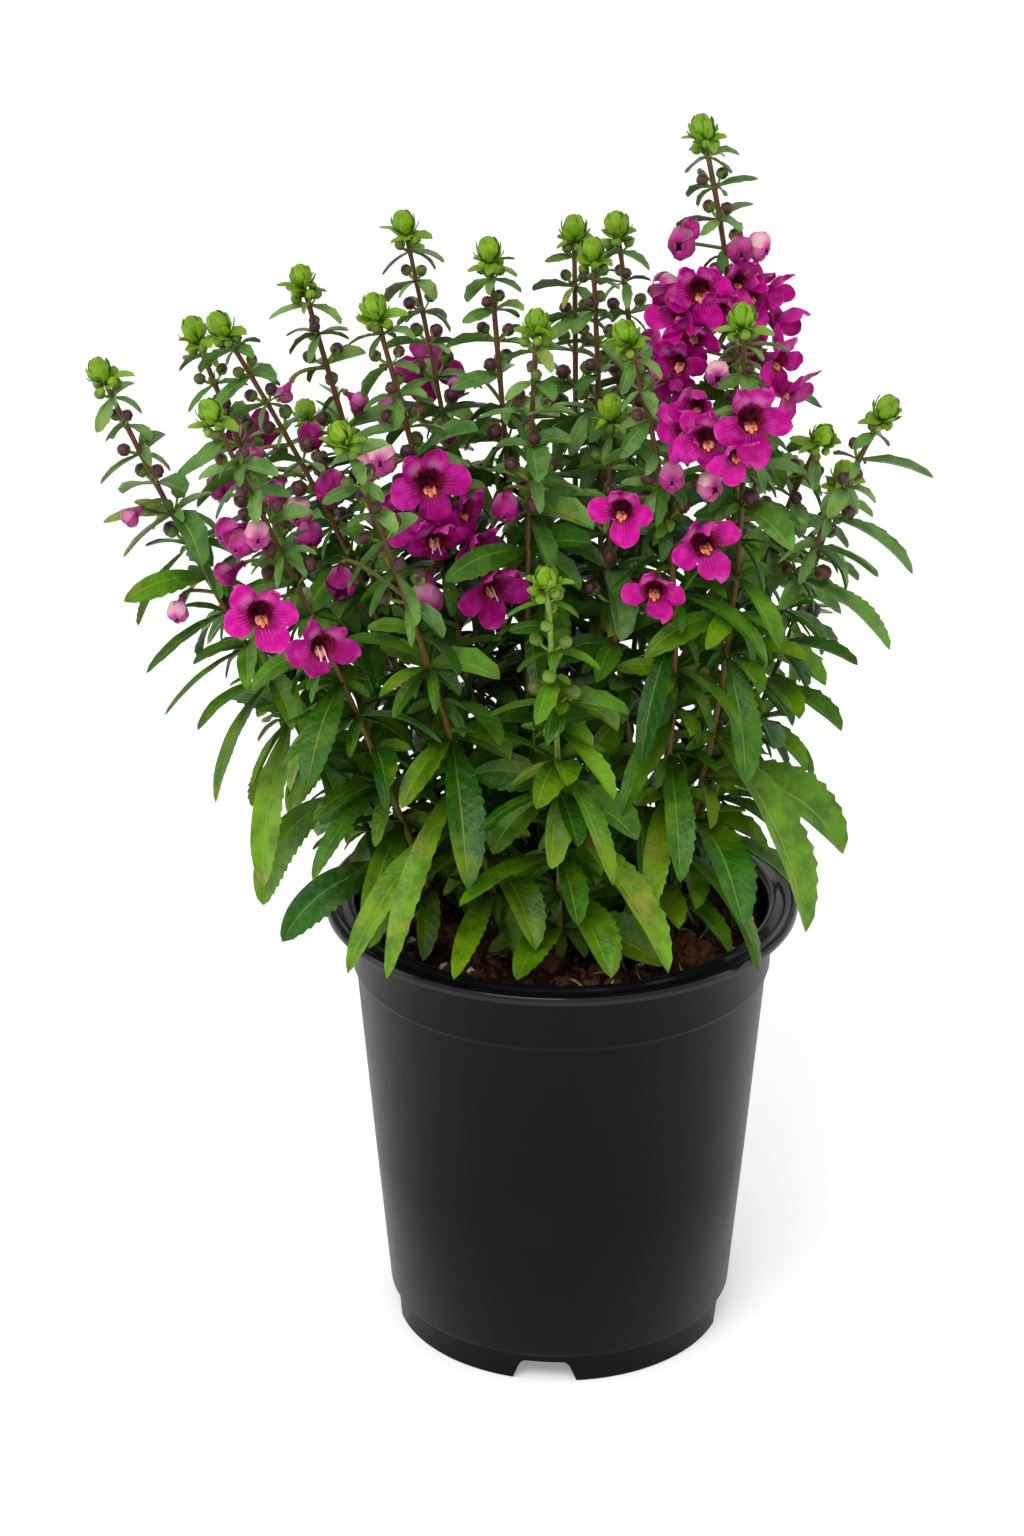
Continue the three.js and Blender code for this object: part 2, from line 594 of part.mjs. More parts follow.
const WANDER = 26;
const ROLL = 100;
const SIZE_SPREAD = [0.84, 1.14];
const OUTER_BONUS = 0.14;
function pairLeaf(pair, side, turnBy, raiseBy, scale) {
  const { stem, level, below, at } = pair;
  const bract = below < BUD_ZONE;
  const young = (below - FIRST_PAIR) / (BUD_ZONE - FIRST_PAIR);
  const old = Math.min(1, (below - BUD_ZONE) / (OLD_ZONE + FIRST_PAIR - BUD_ZONE));
  const root = stemPoint(stem, at);
  const wander = (chance(stem.seed, level, side) - 0.5) * WANDER;
  const lift = (bract ? BRACT_LIFT : LEAF_LIFT) * DEG;
  const outward = pairFacing(pair, side, wander + turnBy);
  const way = unit(add(times(outward, Math.cos(lift)), times(stemHeading(stem, at), Math.sin(lift))));
  const facing = dot(unit([way[0], way[1], 0.001]), unit([root[0], root[1], 0.001]));
  const vary = mix(...SIZE_SPREAD, chance(level, stem.seed, side + 7)) * (1 + OUTER_BONUS * facing) * scale;
  const full = (bract ? mix(...BRACT_LENGTH, young) : mix(...LEAF_LENGTH, old)) * vary;
  return {
    node: stem.node,
    stem,
    root,
    heading: Math.atan2(way[1], way[0]),
    rise: Math.asin(way[2]) + raiseBy * DEG,
    bend: (bract ? BRACT_BEND : mix(...LEAF_BEND, old)) * DEG,
    length: full,
    width: full * mix(...WIDTH_SHARE, Math.min(1, (below - FIRST_PAIR) / OLD_ZONE * 1.4)),
    roll: (chance(level, side, stem.seed) - 0.5) * ROLL * DEG,
  };
}

// A bud stands above the root of its bract
const BUD_RISE = 0.9;
function pairBud(pair, side) {
  const { stem, at, below } = pair;
  const age = (below - FIRST_PAIR) / (BUD_ZONE - FIRST_PAIR);
  const root = stemPoint(stem, at);
  const way = unit(add(pairFacing(pair, side, 0), times(stemHeading(stem, at), BUD_RISE)));
  return { stem, root, way, at: add(root, times(way, mix(...BUD_REACH, age))), radius: mix(...BUD_RADIUS, age) };
}

const byLevel = stems.flatMap((stem) => stem.pairs).sort((p, q) => p.level - q.level || p.stem.seed - q.stem.seed);
for (const pair of byLevel) {
  for (const side of [0, 1]) {
    if (pair.below < BUD_ZONE) {
      const bud = pairBud(pair, side);
      const marks = [{ at: bud.at, radius: bud.radius, nearRoot: true }];
      if (isClear(marks, pair.stem.node, bud)) {
        take(marks, pair.stem.node, bud);
        pair.buds[side] = bud;
      }
    }
    for (const [turnBy, raiseBy, scale] of TRIES) {
      if (grow(pair, side, pairLeaf(pair, side, turnBy, raiseBy, scale))) {
        break;
      }
    }
  }
}

// From shapes to solids
function solidOf(geometry) {
  geometry.deleteAttribute('normal');
  geometry.deleteAttribute('uv');
  const joined = mergeVertices(geometry);
  const position = joined.attributes.position;
  return new wasm.Manifold(new wasm.Mesh({
    numProp: 3,
    vertProperties: new Float32Array(position.array),
    triVerts: new Uint32Array(joined.index.array),
  }));
}

function shell(points, triangles) {
  const geometry = new THREE.BufferGeometry();
  geometry.setAttribute('position', new THREE.Float32BufferAttribute(points.flat(), 3));
  geometry.setIndex(triangles.flat());
  return geometry;
}

// Keeps the largest closed body: a loose scrap is dropped and a sealed hollow is filled
function largestBody(points, triangles) {
  const leader = points.map((_, i) => i);
  const find = (i) => {
    while (leader[i] !== i) {
      leader[i] = leader[leader[i]];
      i = leader[i];
    }
    return i;
  };
  for (const [a, b, c] of triangles) {
    leader[find(a)] = find(b);
    leader[find(b)] = find(c);
  }
  const volumes = new Map();
  for (const [a, b, c] of triangles) {
    const share = dot(points[a], cross(points[b], points[c])) / 6;
    volumes.set(find(a), (volumes.get(find(a)) ?? 0) + share);
  }
  const largest = [...volumes].sort((p, q) => q[1] - p[1])[0][0];
  return triangles.filter(([a]) => find(a) === largest);
}

function meshOf(name, solid, material) {
  const { vertProperties, triVerts, numProp } = solid.getMesh();
  const points = [];
  for (let i = 0; i < vertProperties.length; i += numProp) {
    points.push([vertProperties[i], vertProperties[i + 1], vertProperties[i + 2]]);
  }
  const triangles = [];
  for (let i = 0; i < triVerts.length; i += 3) {
    triangles.push([triVerts[i], triVerts[i + 1], triVerts[i + 2]]);
  }
  const geometry = shell(points, largestBody(points, triangles));
  geometry.computeVertexNormals();
  const mesh = new THREE.Mesh(geometry, material);
  mesh.name = name;
  return mesh;
}

const fuse = (solids) => solids.reduce((whole, piece) => whole.add(piece));

// The room round a stem's foot in the soil: the stem's own straight lower length, a little wider and longer
function holeSolid(stem) {
  const room = stem.radius[0] + 1.5 * GAP;
  const low = ringOf(stem, 0, room);
  const high = ringOf(stem, stem.soilTop, room);
  const stretched = low.map((p, k) => add(p, times(sub(p, high[k]), 0.03)));
  const triangles = [[0, 2, 1], [0, 3, 2], [4, 5, 6], [4, 6, 7]];
  for (let k = 0; k < 4; k++) {
    const j = (k + 1) % 4;
    triangles.push([k, j, 4 + j], [k, 4 + j, 4 + k]);
  }
  return solidOf(shell([...stretched, ...high], triangles));
}

function stalkSolid(stalk) {
  const across = cross(sub(stalk.tip, stalk.foot), sub(stalk.pull, stalk.foot));
  const reference = length(across) > 1 ? unit(across) : ALONG_Z;
  return solidOf(bentBar((t) => stalkPoint(stalk, t), (t) => stalkHeading(stalk, t), stalk.radius, reference));
}

// A tapering round bar bent along a curve. The reference is any direction that the curve never takes.
function bentBar(curve, curveHeading, radii, reference) {
  const bar = new THREE.CylinderGeometry(1, 1, 1, STALK_SIDES, 2);
  const position = bar.attributes.position;
  for (let i = 0; i < position.count; i++) {
    const t = position.getY(i) + 0.5;
    const heading = curveHeading(t);
    const side = unit(cross(heading, reference));
    const beside = cross(heading, side);
    const radius = mix(radii[0], radii[1], t);
    const at = add(curve(t), add(times(side, -position.getX(i) * radius), times(beside, position.getZ(i) * radius)));
    position.setXYZ(i, ...at);
  }
  return bar;
}

// Every large leaf and every leaf placed by hand is in the solid. Other leaves and buds are fewer there,
// in turn up each stem.
const LARGE_LEAF = 46;
const SMALL_LEAF = 36;
function isInSolid(leaf, pair) {
  if (!leaf) {
    return false;
  }
  return leaf.byHand || leaf.length > LARGE_LEAF || pair.level % (leaf.length > SMALL_LEAF ? 2 : 3) === 0;
}
const hasSolidBuds = (pair) => pair.buds.some((bud) => bud) && pair.level % 2 === 0;

// Joins two rows of points, each [place along, index], by a strip of triangles
function strip(triangles, a, b, flip) {
  let i = 0;
  let j = 0;
  while (i < a.length - 1 || j < b.length - 1) {
    const stepA = j === b.length - 1 || (i < a.length - 1 && a[i + 1][0] <= b[j + 1][0]);
    const corners = [a[i][1], b[j][1], stepA ? a[i + 1][1] : b[j + 1][1]];
    if (new Set(corners).size === 3) {
      triangles.push(flip ? [corners[0], corners[2], corners[1]] : corners);
    }
    if (stepA) {
      i++;
    } else {
      j++;
    }
  }
}

// Draws a blade out of one four-cornered face of its stem: toothed outline, thick at the rib, thin at the edge
function addBlade(points, triangles, leaf, low, high) {
  const teeth = leaf.length > LARGE_LEAF ? 3 : leaf.length > SMALL_LEAF ? 2 : 0;
  const ribs = teeth === 3 ? [0.3, 0.62] : [0.5];
  const put = (p) => points.push(p) - 1;
  const tip = put(leafPoint(leaf, 1, 0));
  const edges = [-1, 1].map((u) => {
    const row = [];
    for (let i = 0; i < teeth; i++) {
      const t = (i + 0.85) / (teeth + 0.45);
      row.push([t, put(leafPoint(leaf, t, u, 1.04))], [t + 0.05, put(leafPoint(leaf, t + 0.05, u, 0.8))]);
    }
    if (teeth === 0) {
      row.push([0.52, put(leafPoint(leaf, 0.52, u))]);
    }
    return [...row, [1, tip]];
  });
  for (const [corners, height, flip] of [[high, RIB_THICKNESS / 2, true], [low, -RIB_THICKNESS / 2, false]]) {
    const rib = ribs.map((t) => {
      const frame = leafFrame(leaf, t);
      return [t, put(add(frame.rib, times(frame.normal, height)))];
    });
    rib.push([1, tip]);
    strip(triangles, [[0, corners[0]], ...edges[0]], [[0, corners[0]], ...rib], flip);
    strip(triangles, [[0, corners[1]], ...edges[1]], [[0, corners[1]], ...rib], !flip);
    triangles.push(flip ? [corners[0], rib[0][1], corners[1]] : [corners[0], corners[1], rib[0][1]]);
  }
  triangles.push([low[0], edges[0][0][1], high[0]], [low[1], high[1], edges[1][0][1]]);
}

// Draws a bud out of one face of its stem, as a four-sided drop
const BUD_WAIST = 0.75;
const BUD_CROWN = 1.1;
function addBud(points, triangles, bud, low, high) {
  const level = unit(cross(ALONG_Z, bud.way));
  const upright = cross(bud.way, level);
  const waist = [];
  for (const [x, y] of [[-1, -1], [1, -1], [1, 1], [-1, 1]]) {
    const out = times(add(times(level, x), times(upright, y)), BUD_WAIST * bud.radius);
    waist.push(points.push(add(bud.at, out)) - 1);
  }
  const apex = points.push(add(bud.at, times(bud.way, bud.radius * BUD_CROWN))) - 1;
  const root = [low[0], low[1], high[1], high[0]];
  for (let i = 0; i < 4; i++) {
    const j = (i + 1) % 4;
    triangles.push([root[i], root[j], waist[j]], [root[i], waist[j], waist[i]], [waist[i], waist[j], apex]);
  }
}

// A ring of four corners round a stem. Corner k stands an eighth of a turn before side k of the pairs.
function ringOf(stem, t, radius, turnBy = 0) {
  const heading = stemHeading(stem, t);
  const across = unit(cross(heading, ALONG_Y));
  const beside = cross(heading, across);
  return [0, 1, 2, 3].map((k) => {
    const angle = (k * 90 - 45 + stem.seed * TURN_PER_STEM + turnBy) * DEG;
    const out = add(times(across, Math.cos(angle)), times(beside, Math.sin(angle)));
    return add(stemPoint(stem, t), times(out, radius));
  });
}

// One stem with its leaves, buds and tip, drawn in one skin. Each ring of the tip's cone of closed buds:
// how far below the tip, its radius as a share of the cone's, and its turn.
const TIP_RINGS = [[13.2, 0.28, 0], [10.4, 0.9, 45], [6.8, 1.05, 0], [3, 0.75, 45]];
const PAIR_HEIGHT = 1.1;
const BUD_HEIGHT = 2;
const LONGEST_STRETCH = 50;
function stemSolid(stem) {
  const points = [];
  const triangles = [];
  const span = length(sub(stem.tip, stem.foot));
  const addRing = (t, radius, turnBy) => ringOf(stem, t, radius, turnBy).map((p) => points.push(p) - 1);
  const radiusAt = (t) => mix(...stem.radius, t);
  const wall = (low, high, k) => {
    const j = (k + 1) % 4;
    triangles.push([low[k], low[j], high[j]], [low[k], high[j], high[k]]);
  };
  let last = addRing(0, radiusAt(0));
  triangles.push([last[0], last[2], last[1]], [last[0], last[3], last[2]]);
  let lastAt = 0;
  const riseTo = (t, drawn = {}) => {
    const ring = addRing(t, radiusAt(t));
    for (let k = 0; k < 4; k++) {
      if (drawn[k]) {
        drawn[k]([last[k], last[(k + 1) % 4]], [ring[k], ring[(k + 1) % 4]]);
      } else {
        wall(last, ring, k);
      }
    }
    last = ring;
    lastAt = t;
  };
  if (!stem.parent) {
    riseTo(stem.soilTop);
  }
  for (const pair of [...stem.pairs].reverse()) {
    const shown = pair.leaves.map((leaf) => isInSolid(leaf, pair));
    const budded = hasSolidBuds(pair);
    if (!shown[0] && !shown[1] && !budded) {
      continue;
    }
    if ((pair.at - lastAt) * span > LONGEST_STRETCH) {
      riseTo((pair.at + lastAt) / 2);
    }
    const step = PAIR_HEIGHT / span;
    const drawLeaves = {};
    const drawBuds = {};
    pair.leaves.forEach((leaf, side) => {
      const face = (pair.level + 2 * side) % 4;
      if (shown[side]) {
        drawLeaves[face] = (low, high) => addBlade(points, triangles, leaf, low, high);
      }
      if (budded && pair.buds[side]) {
        drawBuds[face] = (low, high) => addBud(points, triangles, pair.buds[side], low, high);
      }
    });
    riseTo(pair.at - step);
    riseTo(pair.at + step, drawLeaves);
    if (budded) {
      riseTo(pair.at + step + BUD_HEIGHT / span, drawBuds);
    }
  }
  for (const [below, share, turnBy] of TIP_RINGS) {
    const ring = addRing(1 - below / span, share * TIP_RADIUS, turnBy);
    for (let k = 0; k < 4; k++) {
      const j = (k + 1) % 4;
      if (turnBy === 0) {
        triangles.push([last[k], last[j], ring[j]], [last[k], ring[j], ring[k]]);
      } else {
        triangles.push([last[k], last[j], ring[k]], [last[j], ring[j], ring[k]]);
      }
    }
    last = ring;
  }
  const apex = points.push(stem.tip) - 1;
  for (let k = 0; k < 4; k++) {
    triangles.push([last[k], last[(k + 1) % 4], apex]);
  }
  return solidOf(shell(points, triangles));
}

// A floret: a cup whose rim runs out into five lobes. A large one has a throat ring and broad lobes.
const LARGE_FLORET = 18;
function bloomSolid(bloom) {
  const points = [];
  const triangles = [];
  const put = (p) => points.push(p) - 1;
  const w = bloom.width;
  const large = w > LARGE_FLORET;
  const throat = put(bloomPoint(bloom, 0, 0, -THROAT_DEPTH * w));
  const back = put(bloomPoint(bloom, 0, 0, -TUBE_DEPTH * w));
  const count = LOBES.length;
  const ringPoint = (angle, radius, depth) =>
    put(bloomPoint(bloom, Math.cos(angle * DEG) * radius * w, Math.sin(angle * DEG) * radius * w, -depth * w));
  const notchAngles = LOBES.map(([angle], i) => (angle + LOBES[(i + 1) % count][0] + (i === count - 1 ? 360 : 0)) / 2);
  const notches = notchAngles.map((angle) => put(petalPoint(bloom, angle, NOTCH_REACH)));
  const inner = notchAngles.map((angle) => (large ? ringPoint(angle, THROAT_RADIUS, 0) : throat));
  const outer = notchAngles.map((angle) => (large ? ringPoint(angle, COLLAR_RADIUS, COLLAR_DEPTH) : back));
  LOBES.forEach(([angle, half, reach], i) => {
    const before = (i + count - 1) % count;
    const edge = [notches[before], put(petalPoint(bloom, angle, reach)), notches[i]];
    if (large) {
      edge.splice(1, 0, put(petalPoint(bloom, angle - half, reach * SHOULDER_SHARE)));
      edge.splice(3, 0, put(petalPoint(bloom, angle + half, reach * SHOULDER_SHARE)));
    }
    const crown = (edge.length - 1) / 2;
    for (const [ring, middle, flip] of [[inner, throat, false], [outer, back, true]]) {
      const face = (a, b, c) => {
        if (a !== b && a !== c) {
          triangles.push(flip ? [a, c, b] : [a, b, c]);
        }
      };
      face(middle, ring[before], ring[i]);
      face(edge[crown], ring[i], ring[before]);
      for (let k = 0; k < edge.length - 1; k++) {
        face(ring[k < crown ? before : i], edge[k], edge[k + 1]);
      }
    }
  });
  return solidOf(shell(points, triangles));
}

// The pot
function potSolid() {
  const foot = FOOT_RADIUS - FOOT_THICKNESS;
  const floorTop = FOOT_HEIGHT + WALL_THICKNESS;
  const profile = [
    [0, FOOT_HEIGHT],
    [foot, FOOT_HEIGHT],
    [foot, 0],
    [FOOT_RADIUS, 0],
    [FOOT_RADIUS + 0.2, FOOT_HEIGHT],
    [WALL_BOTTOM_RADIUS, FOOT_HEIGHT + 1.5],
    [WALL_TOP_RADIUS, BAND_BOTTOM - 1],
    [BAND_RADIUS - 0.2, BAND_BOTTOM],
    [BAND_RADIUS + 0.2, RIM_TOP - 3.6],
    [RIM_RADIUS, RIM_TOP - 3],
    [RIM_RADIUS, RIM_TOP - 0.8],
    [RIM_RADIUS - 0.8, RIM_TOP],
    [CREST_RADIUS, POT_HEIGHT],
    [BAND_RADIUS - WALL_THICKNESS, RIM_TOP - 1.2],
    [BAND_RADIUS - WALL_THICKNESS, BAND_BOTTOM + 1],
    [WALL_TOP_RADIUS - WALL_THICKNESS, BAND_BOTTOM - 1],
    [WALL_BOTTOM_RADIUS - WALL_THICKNESS, floorTop],
    [0, floorTop],
  ];
  const lathe = new THREE.LatheGeometry(profile.map(([r, z]) => new THREE.Vector2(r, z)), POT_SIDES);
  lathe.rotateX(Math.PI / 2);
  let pot = solidOf(lathe);
  const half = NOTCH_WIDTH / 2;
  const outline = new THREE.Shape([
    new THREE.Vector2(-half, -1),
    new THREE.Vector2(half, -1),
    new THREE.Vector2(half, NOTCH_HEIGHT - 2),
    new THREE.Vector2(half - 2, NOTCH_HEIGHT),
    new THREE.Vector2(2 - half, NOTCH_HEIGHT),
    new THREE.Vector2(-half, NOTCH_HEIGHT - 2),
  ]);
  for (const angle of NOTCH_ANGLES) {
    const cutter = new THREE.ExtrudeGeometry(outline, { depth: 16, bevelEnabled: false });
    cutter.translate(0, 0, FOOT_RADIUS - 10);
    cutter.rotateX(Math.PI / 2);
    cutter.rotateZ(angle * DEG + Math.PI / 2);
    pot = pot.subtract(solidOf(cutter));
  }
  for (const angle of DRAIN_ANGLES) {
    const drill = new THREE.CylinderGeometry(DRAIN_RADIUS, DRAIN_RADIUS, 8, 8);
    drill.rotateX(Math.PI / 2);
    drill.translate(DRAIN_RING * Math.cos(angle * DEG), DRAIN_RING * Math.sin(angle * DEG), FOOT_HEIGHT + 1);
    pot = pot.subtract(solidOf(drill));
  }
  return pot;
}

// The soil: lumpy on top, with a plain hole round each stem
function soilSolid() {
  const shrink = Math.cos(Math.PI / POT_SIDES);
  const wall = (z) => {
    const share = (z - FOOT_HEIGHT) / (BAND_BOTTOM - FOOT_HEIGHT);
    return (mix(WALL_BOTTOM_RADIUS, WALL_TOP_RADIUS, Math.min(1, share)) - WALL_THICKNESS) * shrink - GAP - 0.3;
  };
  const bottom = FOOT_HEIGHT + WALL_THICKNESS + GAP;
  const rings = [62, 42, 22];
  const profile = [[0, bottom], [wall(bottom) - 1.4, bottom], [wall(bottom + 3), bottom + 3]];
  profile.push([wall(SOIL_TOP - 4), SOIL_TOP - 4]);
  const firstLumpy = profile.length;
  for (const r of rings) {
    profile.push([r, SOIL_TOP]);
  }
  profile.push([0, SOIL_TOP]);
  const lathe = new THREE.LatheGeometry(profile.map(([r, z]) => new THREE.Vector2(r, z)), SOIL_SIDES);
  lathe.rotateX(Math.PI / 2);
  const position = lathe.attributes.position;
  for (let i = 0; i < position.count; i++) {
    const ring = i % profile.length;
    const x = position.getX(i);
    const y = position.getY(i);
    if (ring >= firstLumpy) {
      const lump = Math.sin(x * 0.19 + 1) * Math.cos(y * 0.17) + 0.7 * Math.sin(x * 0.11 - y * 0.23 + 2);
      position.setZ(i, SOIL_TOP + SOIL_LUMP * lump);
    }
  }
  let soil = solidOf(lathe);
  for (const stem of stems.filter((s) => !s.parent)) {
    soil = soil.subtract(holeSolid(stem));
  }
  return soil;
}

// One material for each finish
const plastic = new THREE.MeshStandardMaterial({ color: BLACK_PLASTIC, roughness: 0.45, metalness: 0 });
const earth = new THREE.MeshStandardMaterial({ color: SOIL_BROWN, roughness: 0.95, metalness: 0 });
const foliage = new THREE.MeshStandardMaterial({ color: LEAF_GREEN, roughness: 0.55, metalness: 0 });
const petal = new THREE.MeshStandardMaterial({ color: MAGENTA, roughness: 0.6, metalness: 0 });

const plant = new THREE.Group();
plant.add(meshOf('pot', potSolid(), plastic));
plant.add(meshOf('soil', soilSolid(), earth));

for (const node of new Set(stems.map((stem) => stem.node))) {
  const pieces = stems.filter((stem) => stem.node === node).map(stemSolid);
  pieces.push(...stalks.filter((stalk) => stalk.node === node).map(stalkSolid));
  plant.add(meshOf(node, fuse(pieces), foliage.clone()));
}

for (const node of new Set(blooms.map((bloom) => bloom.node))) {
  const florets = blooms.filter((bloom) => bloom.node === node).map(bloomSolid);
  plant.add(meshOf(node, fuse(florets), petal.clone()));
}

// Origin under the middle of the bounding box
const box = new THREE.Box3().setFromObject(plant);
plant.position.set(-(box.min.x + box.max.x) / 2, -(box.min.y + box.max.y) / 2, -box.min.z);

export default plant;
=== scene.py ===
# %% [markdown]
# # A potted angelonia
# The object is a young angelonia, a summer bedding plant, in a black nursery pot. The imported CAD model
# is the fixed frame: it says where the pot, the soil, every stem, leaf, bud and bloom stand.
# Here each of those nodes gets a finer piece in its place. First the frame is loaded and its box is kept,
# because the dressed plant has to stay inside that box.

import json
import math
from itertools import product
from types import SimpleNamespace

import bpy
import numpy as np
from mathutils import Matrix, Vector, noise

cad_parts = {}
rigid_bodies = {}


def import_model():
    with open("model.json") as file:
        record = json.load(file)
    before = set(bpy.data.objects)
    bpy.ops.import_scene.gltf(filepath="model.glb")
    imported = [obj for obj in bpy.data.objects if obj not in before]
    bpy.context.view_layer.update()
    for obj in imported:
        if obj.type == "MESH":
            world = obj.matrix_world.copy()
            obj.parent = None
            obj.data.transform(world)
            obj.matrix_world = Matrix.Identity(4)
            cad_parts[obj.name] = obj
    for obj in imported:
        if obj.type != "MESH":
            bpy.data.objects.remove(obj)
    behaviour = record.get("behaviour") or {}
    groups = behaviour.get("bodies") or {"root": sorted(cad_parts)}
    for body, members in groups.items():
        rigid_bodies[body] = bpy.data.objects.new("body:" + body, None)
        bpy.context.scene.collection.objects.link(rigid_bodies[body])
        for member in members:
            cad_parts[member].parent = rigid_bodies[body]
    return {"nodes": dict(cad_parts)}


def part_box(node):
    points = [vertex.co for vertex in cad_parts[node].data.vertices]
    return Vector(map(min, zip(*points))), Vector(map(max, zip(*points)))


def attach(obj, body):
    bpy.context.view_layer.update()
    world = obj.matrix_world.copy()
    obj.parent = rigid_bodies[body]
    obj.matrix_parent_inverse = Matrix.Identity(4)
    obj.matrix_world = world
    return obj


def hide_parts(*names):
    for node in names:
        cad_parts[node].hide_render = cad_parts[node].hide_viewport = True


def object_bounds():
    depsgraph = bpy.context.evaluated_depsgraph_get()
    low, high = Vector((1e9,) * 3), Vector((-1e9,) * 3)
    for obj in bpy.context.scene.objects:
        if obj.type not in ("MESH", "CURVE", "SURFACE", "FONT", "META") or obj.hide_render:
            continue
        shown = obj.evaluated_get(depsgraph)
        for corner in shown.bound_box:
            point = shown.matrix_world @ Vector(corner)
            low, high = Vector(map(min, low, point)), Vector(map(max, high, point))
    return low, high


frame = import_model()
cad_low, cad_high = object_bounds()
bpy.ops.object.select_all(action="DESELECT")
print("nodes", len(frame["nodes"]), "box", [round(b - a, 4) for a, b in zip(cad_low, cad_high)])

# %% [markdown]
# The plant is worked out in millimetres round the pot's own axis, as on a drawing. Blender works in metres,
# and the frame's origin is not on the pot's axis, so one helper turns the first into the second.

# %% From drawing millimetres to the frame
MM = 0.001
pot_low, pot_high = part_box("pot")
AXIS = np.array(((pot_low.x + pot_high.x) / 2, (pot_low.y + pot_high.y) / 2, 0.0))


def to_frame(points):
    return np.asarray(points, float) * MM + AXIS


print("pot axis", AXIS.round(5))

# %% [markdown]
# The camera stands where the photographer stood: about 1.3 m in front of the pot, above the flowers, and
# looking down at 23 degrees. The lens is long, so the pot's sides hardly converge.

# %% Camera
CAMERA_PLACE = (0, -1266.86, 760.87)
LOOK_DOWN = 23.38
LOOK_ASIDE = 0.795
LENS = 92.35
SENSOR_WIDTH = 36
FARTHEST_SEEN = 60

scene = bpy.context.scene
camera = bpy.data.objects.new("camera", bpy.data.cameras.new("camera"))
scene.collection.objects.link(camera)
scene.camera = camera
camera.location = to_frame(CAMERA_PLACE)
camera.rotation_euler = (math.radians(90 - LOOK_DOWN), 0, math.radians(LOOK_ASIDE))
camera.data.sensor_width = SENSOR_WIDTH
camera.data.lens = LENS
camera.data.clip_end = FARTHEST_SEEN
print("camera", [round(v, 3) for v in camera.location])

# %% [markdown]
# The light is that of a white studio: a bright even surround, one wide soft lamp above and in front, and a
# faint one on each side, which draws the sheen down the sides of the pot. The floor is plain and pale.

# %% Light and floor
SURROUND_STRENGTH = 0.8
LAMP_TARGET = np.array((0, 0, 0.2))
# Name, place, width and height in metres, and watts
LAMPS = (
    ("key_lamp", (-0.5, -1.4, 1.9), (1.3, 1.0), 24),
    ("left_lamp", (-1.8, -0.1, 0.7), (0.7, 1.4), 4),
    ("right_lamp", (1.8, -0.1, 0.7), (0.7, 1.4), 4),
)
FLOOR_RADIUS = 12

scene.view_settings.view_transform = "Standard"
scene.world = bpy.data.worlds.new("studio")
scene.world.use_nodes = True
surround = scene.world.node_tree.nodes["Background"].inputs
surround["Color"].default_value = (1, 1, 1, 1)
surround["Strength"].default_value = SURROUND_STRENGTH
for name, place, size, watts in LAMPS:
    data = bpy.data.lights.new(name, "AREA")
    data.shape = "RECTANGLE"
    data.size, data.size_y = size
    data.energy = watts
    lamp = bpy.data.objects.new(name, data)
    scene.collection.objects.link(lamp)
    lamp.location = place
    way = LAMP_TARGET - place
    tilt = math.acos(-way[2] / np.linalg.norm(way))
    lamp.rotation_euler = (tilt, 0, math.atan2(way[1], way[0]) - math.pi / 2)

bpy.ops.mesh.primitive_circle_add(vertices=64, radius=FLOOR_RADIUS, fill_type="NGON", location=(0, 0, 0))
floor = bpy.context.object
floor.name = "floor"
print("lamps", len(LAMPS))

# %% [markdown]
# ## Finishes
# All finishes are made of nodes. So that they read like sums, a node's output is wrapped as a Wire: adding or
# multiplying wires adds the maths node that does it. Colours are given as they look on a screen, 0 to 255.

# %% Node helpers
def plug(socket, value):
    """A socket takes either a wire or a constant."""
    if isinstance(value, Wire):
        socket.id_data.links.new(value.socket, socket)
    else:
        socket.default_value = value


def add_node(tree, kind, inputs=(), **settings):
    node = tree.nodes.new(kind)
    for name, value in settings.items():
        setattr(node, name, value)
    for name, value in dict(inputs).items():
        plug(node.inputs[name], value)
    return node


class Wire:
    """The output of a node."""

    def __init__(self, socket):
        self.socket = socket
        self.tree = socket.id_data

    def __add__(self, other):
        return maths("ADD", self, other)

    def __mul__(self, other):
        return maths("MULTIPLY", self, other)


def maths(operation, a, b=0.0, c=0.0):
    tree = next(value.tree for value in (a, b, c) if isinstance(value, Wire))
    return Wire(add_node(tree, "ShaderNodeMath", {0: a, 1: b, 2: c}, operation=operation).outputs[0])


def scaled(value, by, plus):
    return maths("MULTIPLY_ADD", value, by, plus)


def stripes(value, per_turn):
    """A wave between 0 and 1 that runs along the value."""
    return scaled(maths("COSINE", value * per_turn), 0.5, 0.5)


def ramp(value, low, high):
    """0 where the value is below low, 1 where it is above high, and smooth between."""
    inputs = {"Value": value, "From Min": low, "From Max": high}
    node = add_node(value.tree, "ShaderNodeMapRange", inputs, interpolation_type="SMOOTHSTEP")
    return Wire(node.outputs["Result"])


def linear(colour):
    """Screen values turned into the linear ones that Blender uses."""
    shares = [c / 255 for c in colour]
    return (*(c / 12.92 if c <= 0.04045 else ((c + 0.055) / 1.055) ** 2.4 for c in shares), 1.0)


def blend(share, a, b):
    """Colour a, with colour b over it by its share."""
    node = add_node(share.tree, "ShaderNodeMix", data_type="RGBA", blend_type="MIX")
    for number, value in ((0, share), (6, a), (7, b)):
        plug(node.inputs[number], value if isinstance(value, Wire) else linear(value))
    return Wire(node.outputs[2])


def parts_of(vector):
    return [Wire(socket) for socket in add_node(vector.tree, "ShaderNodeSeparateXYZ", {0: vector}).outputs]


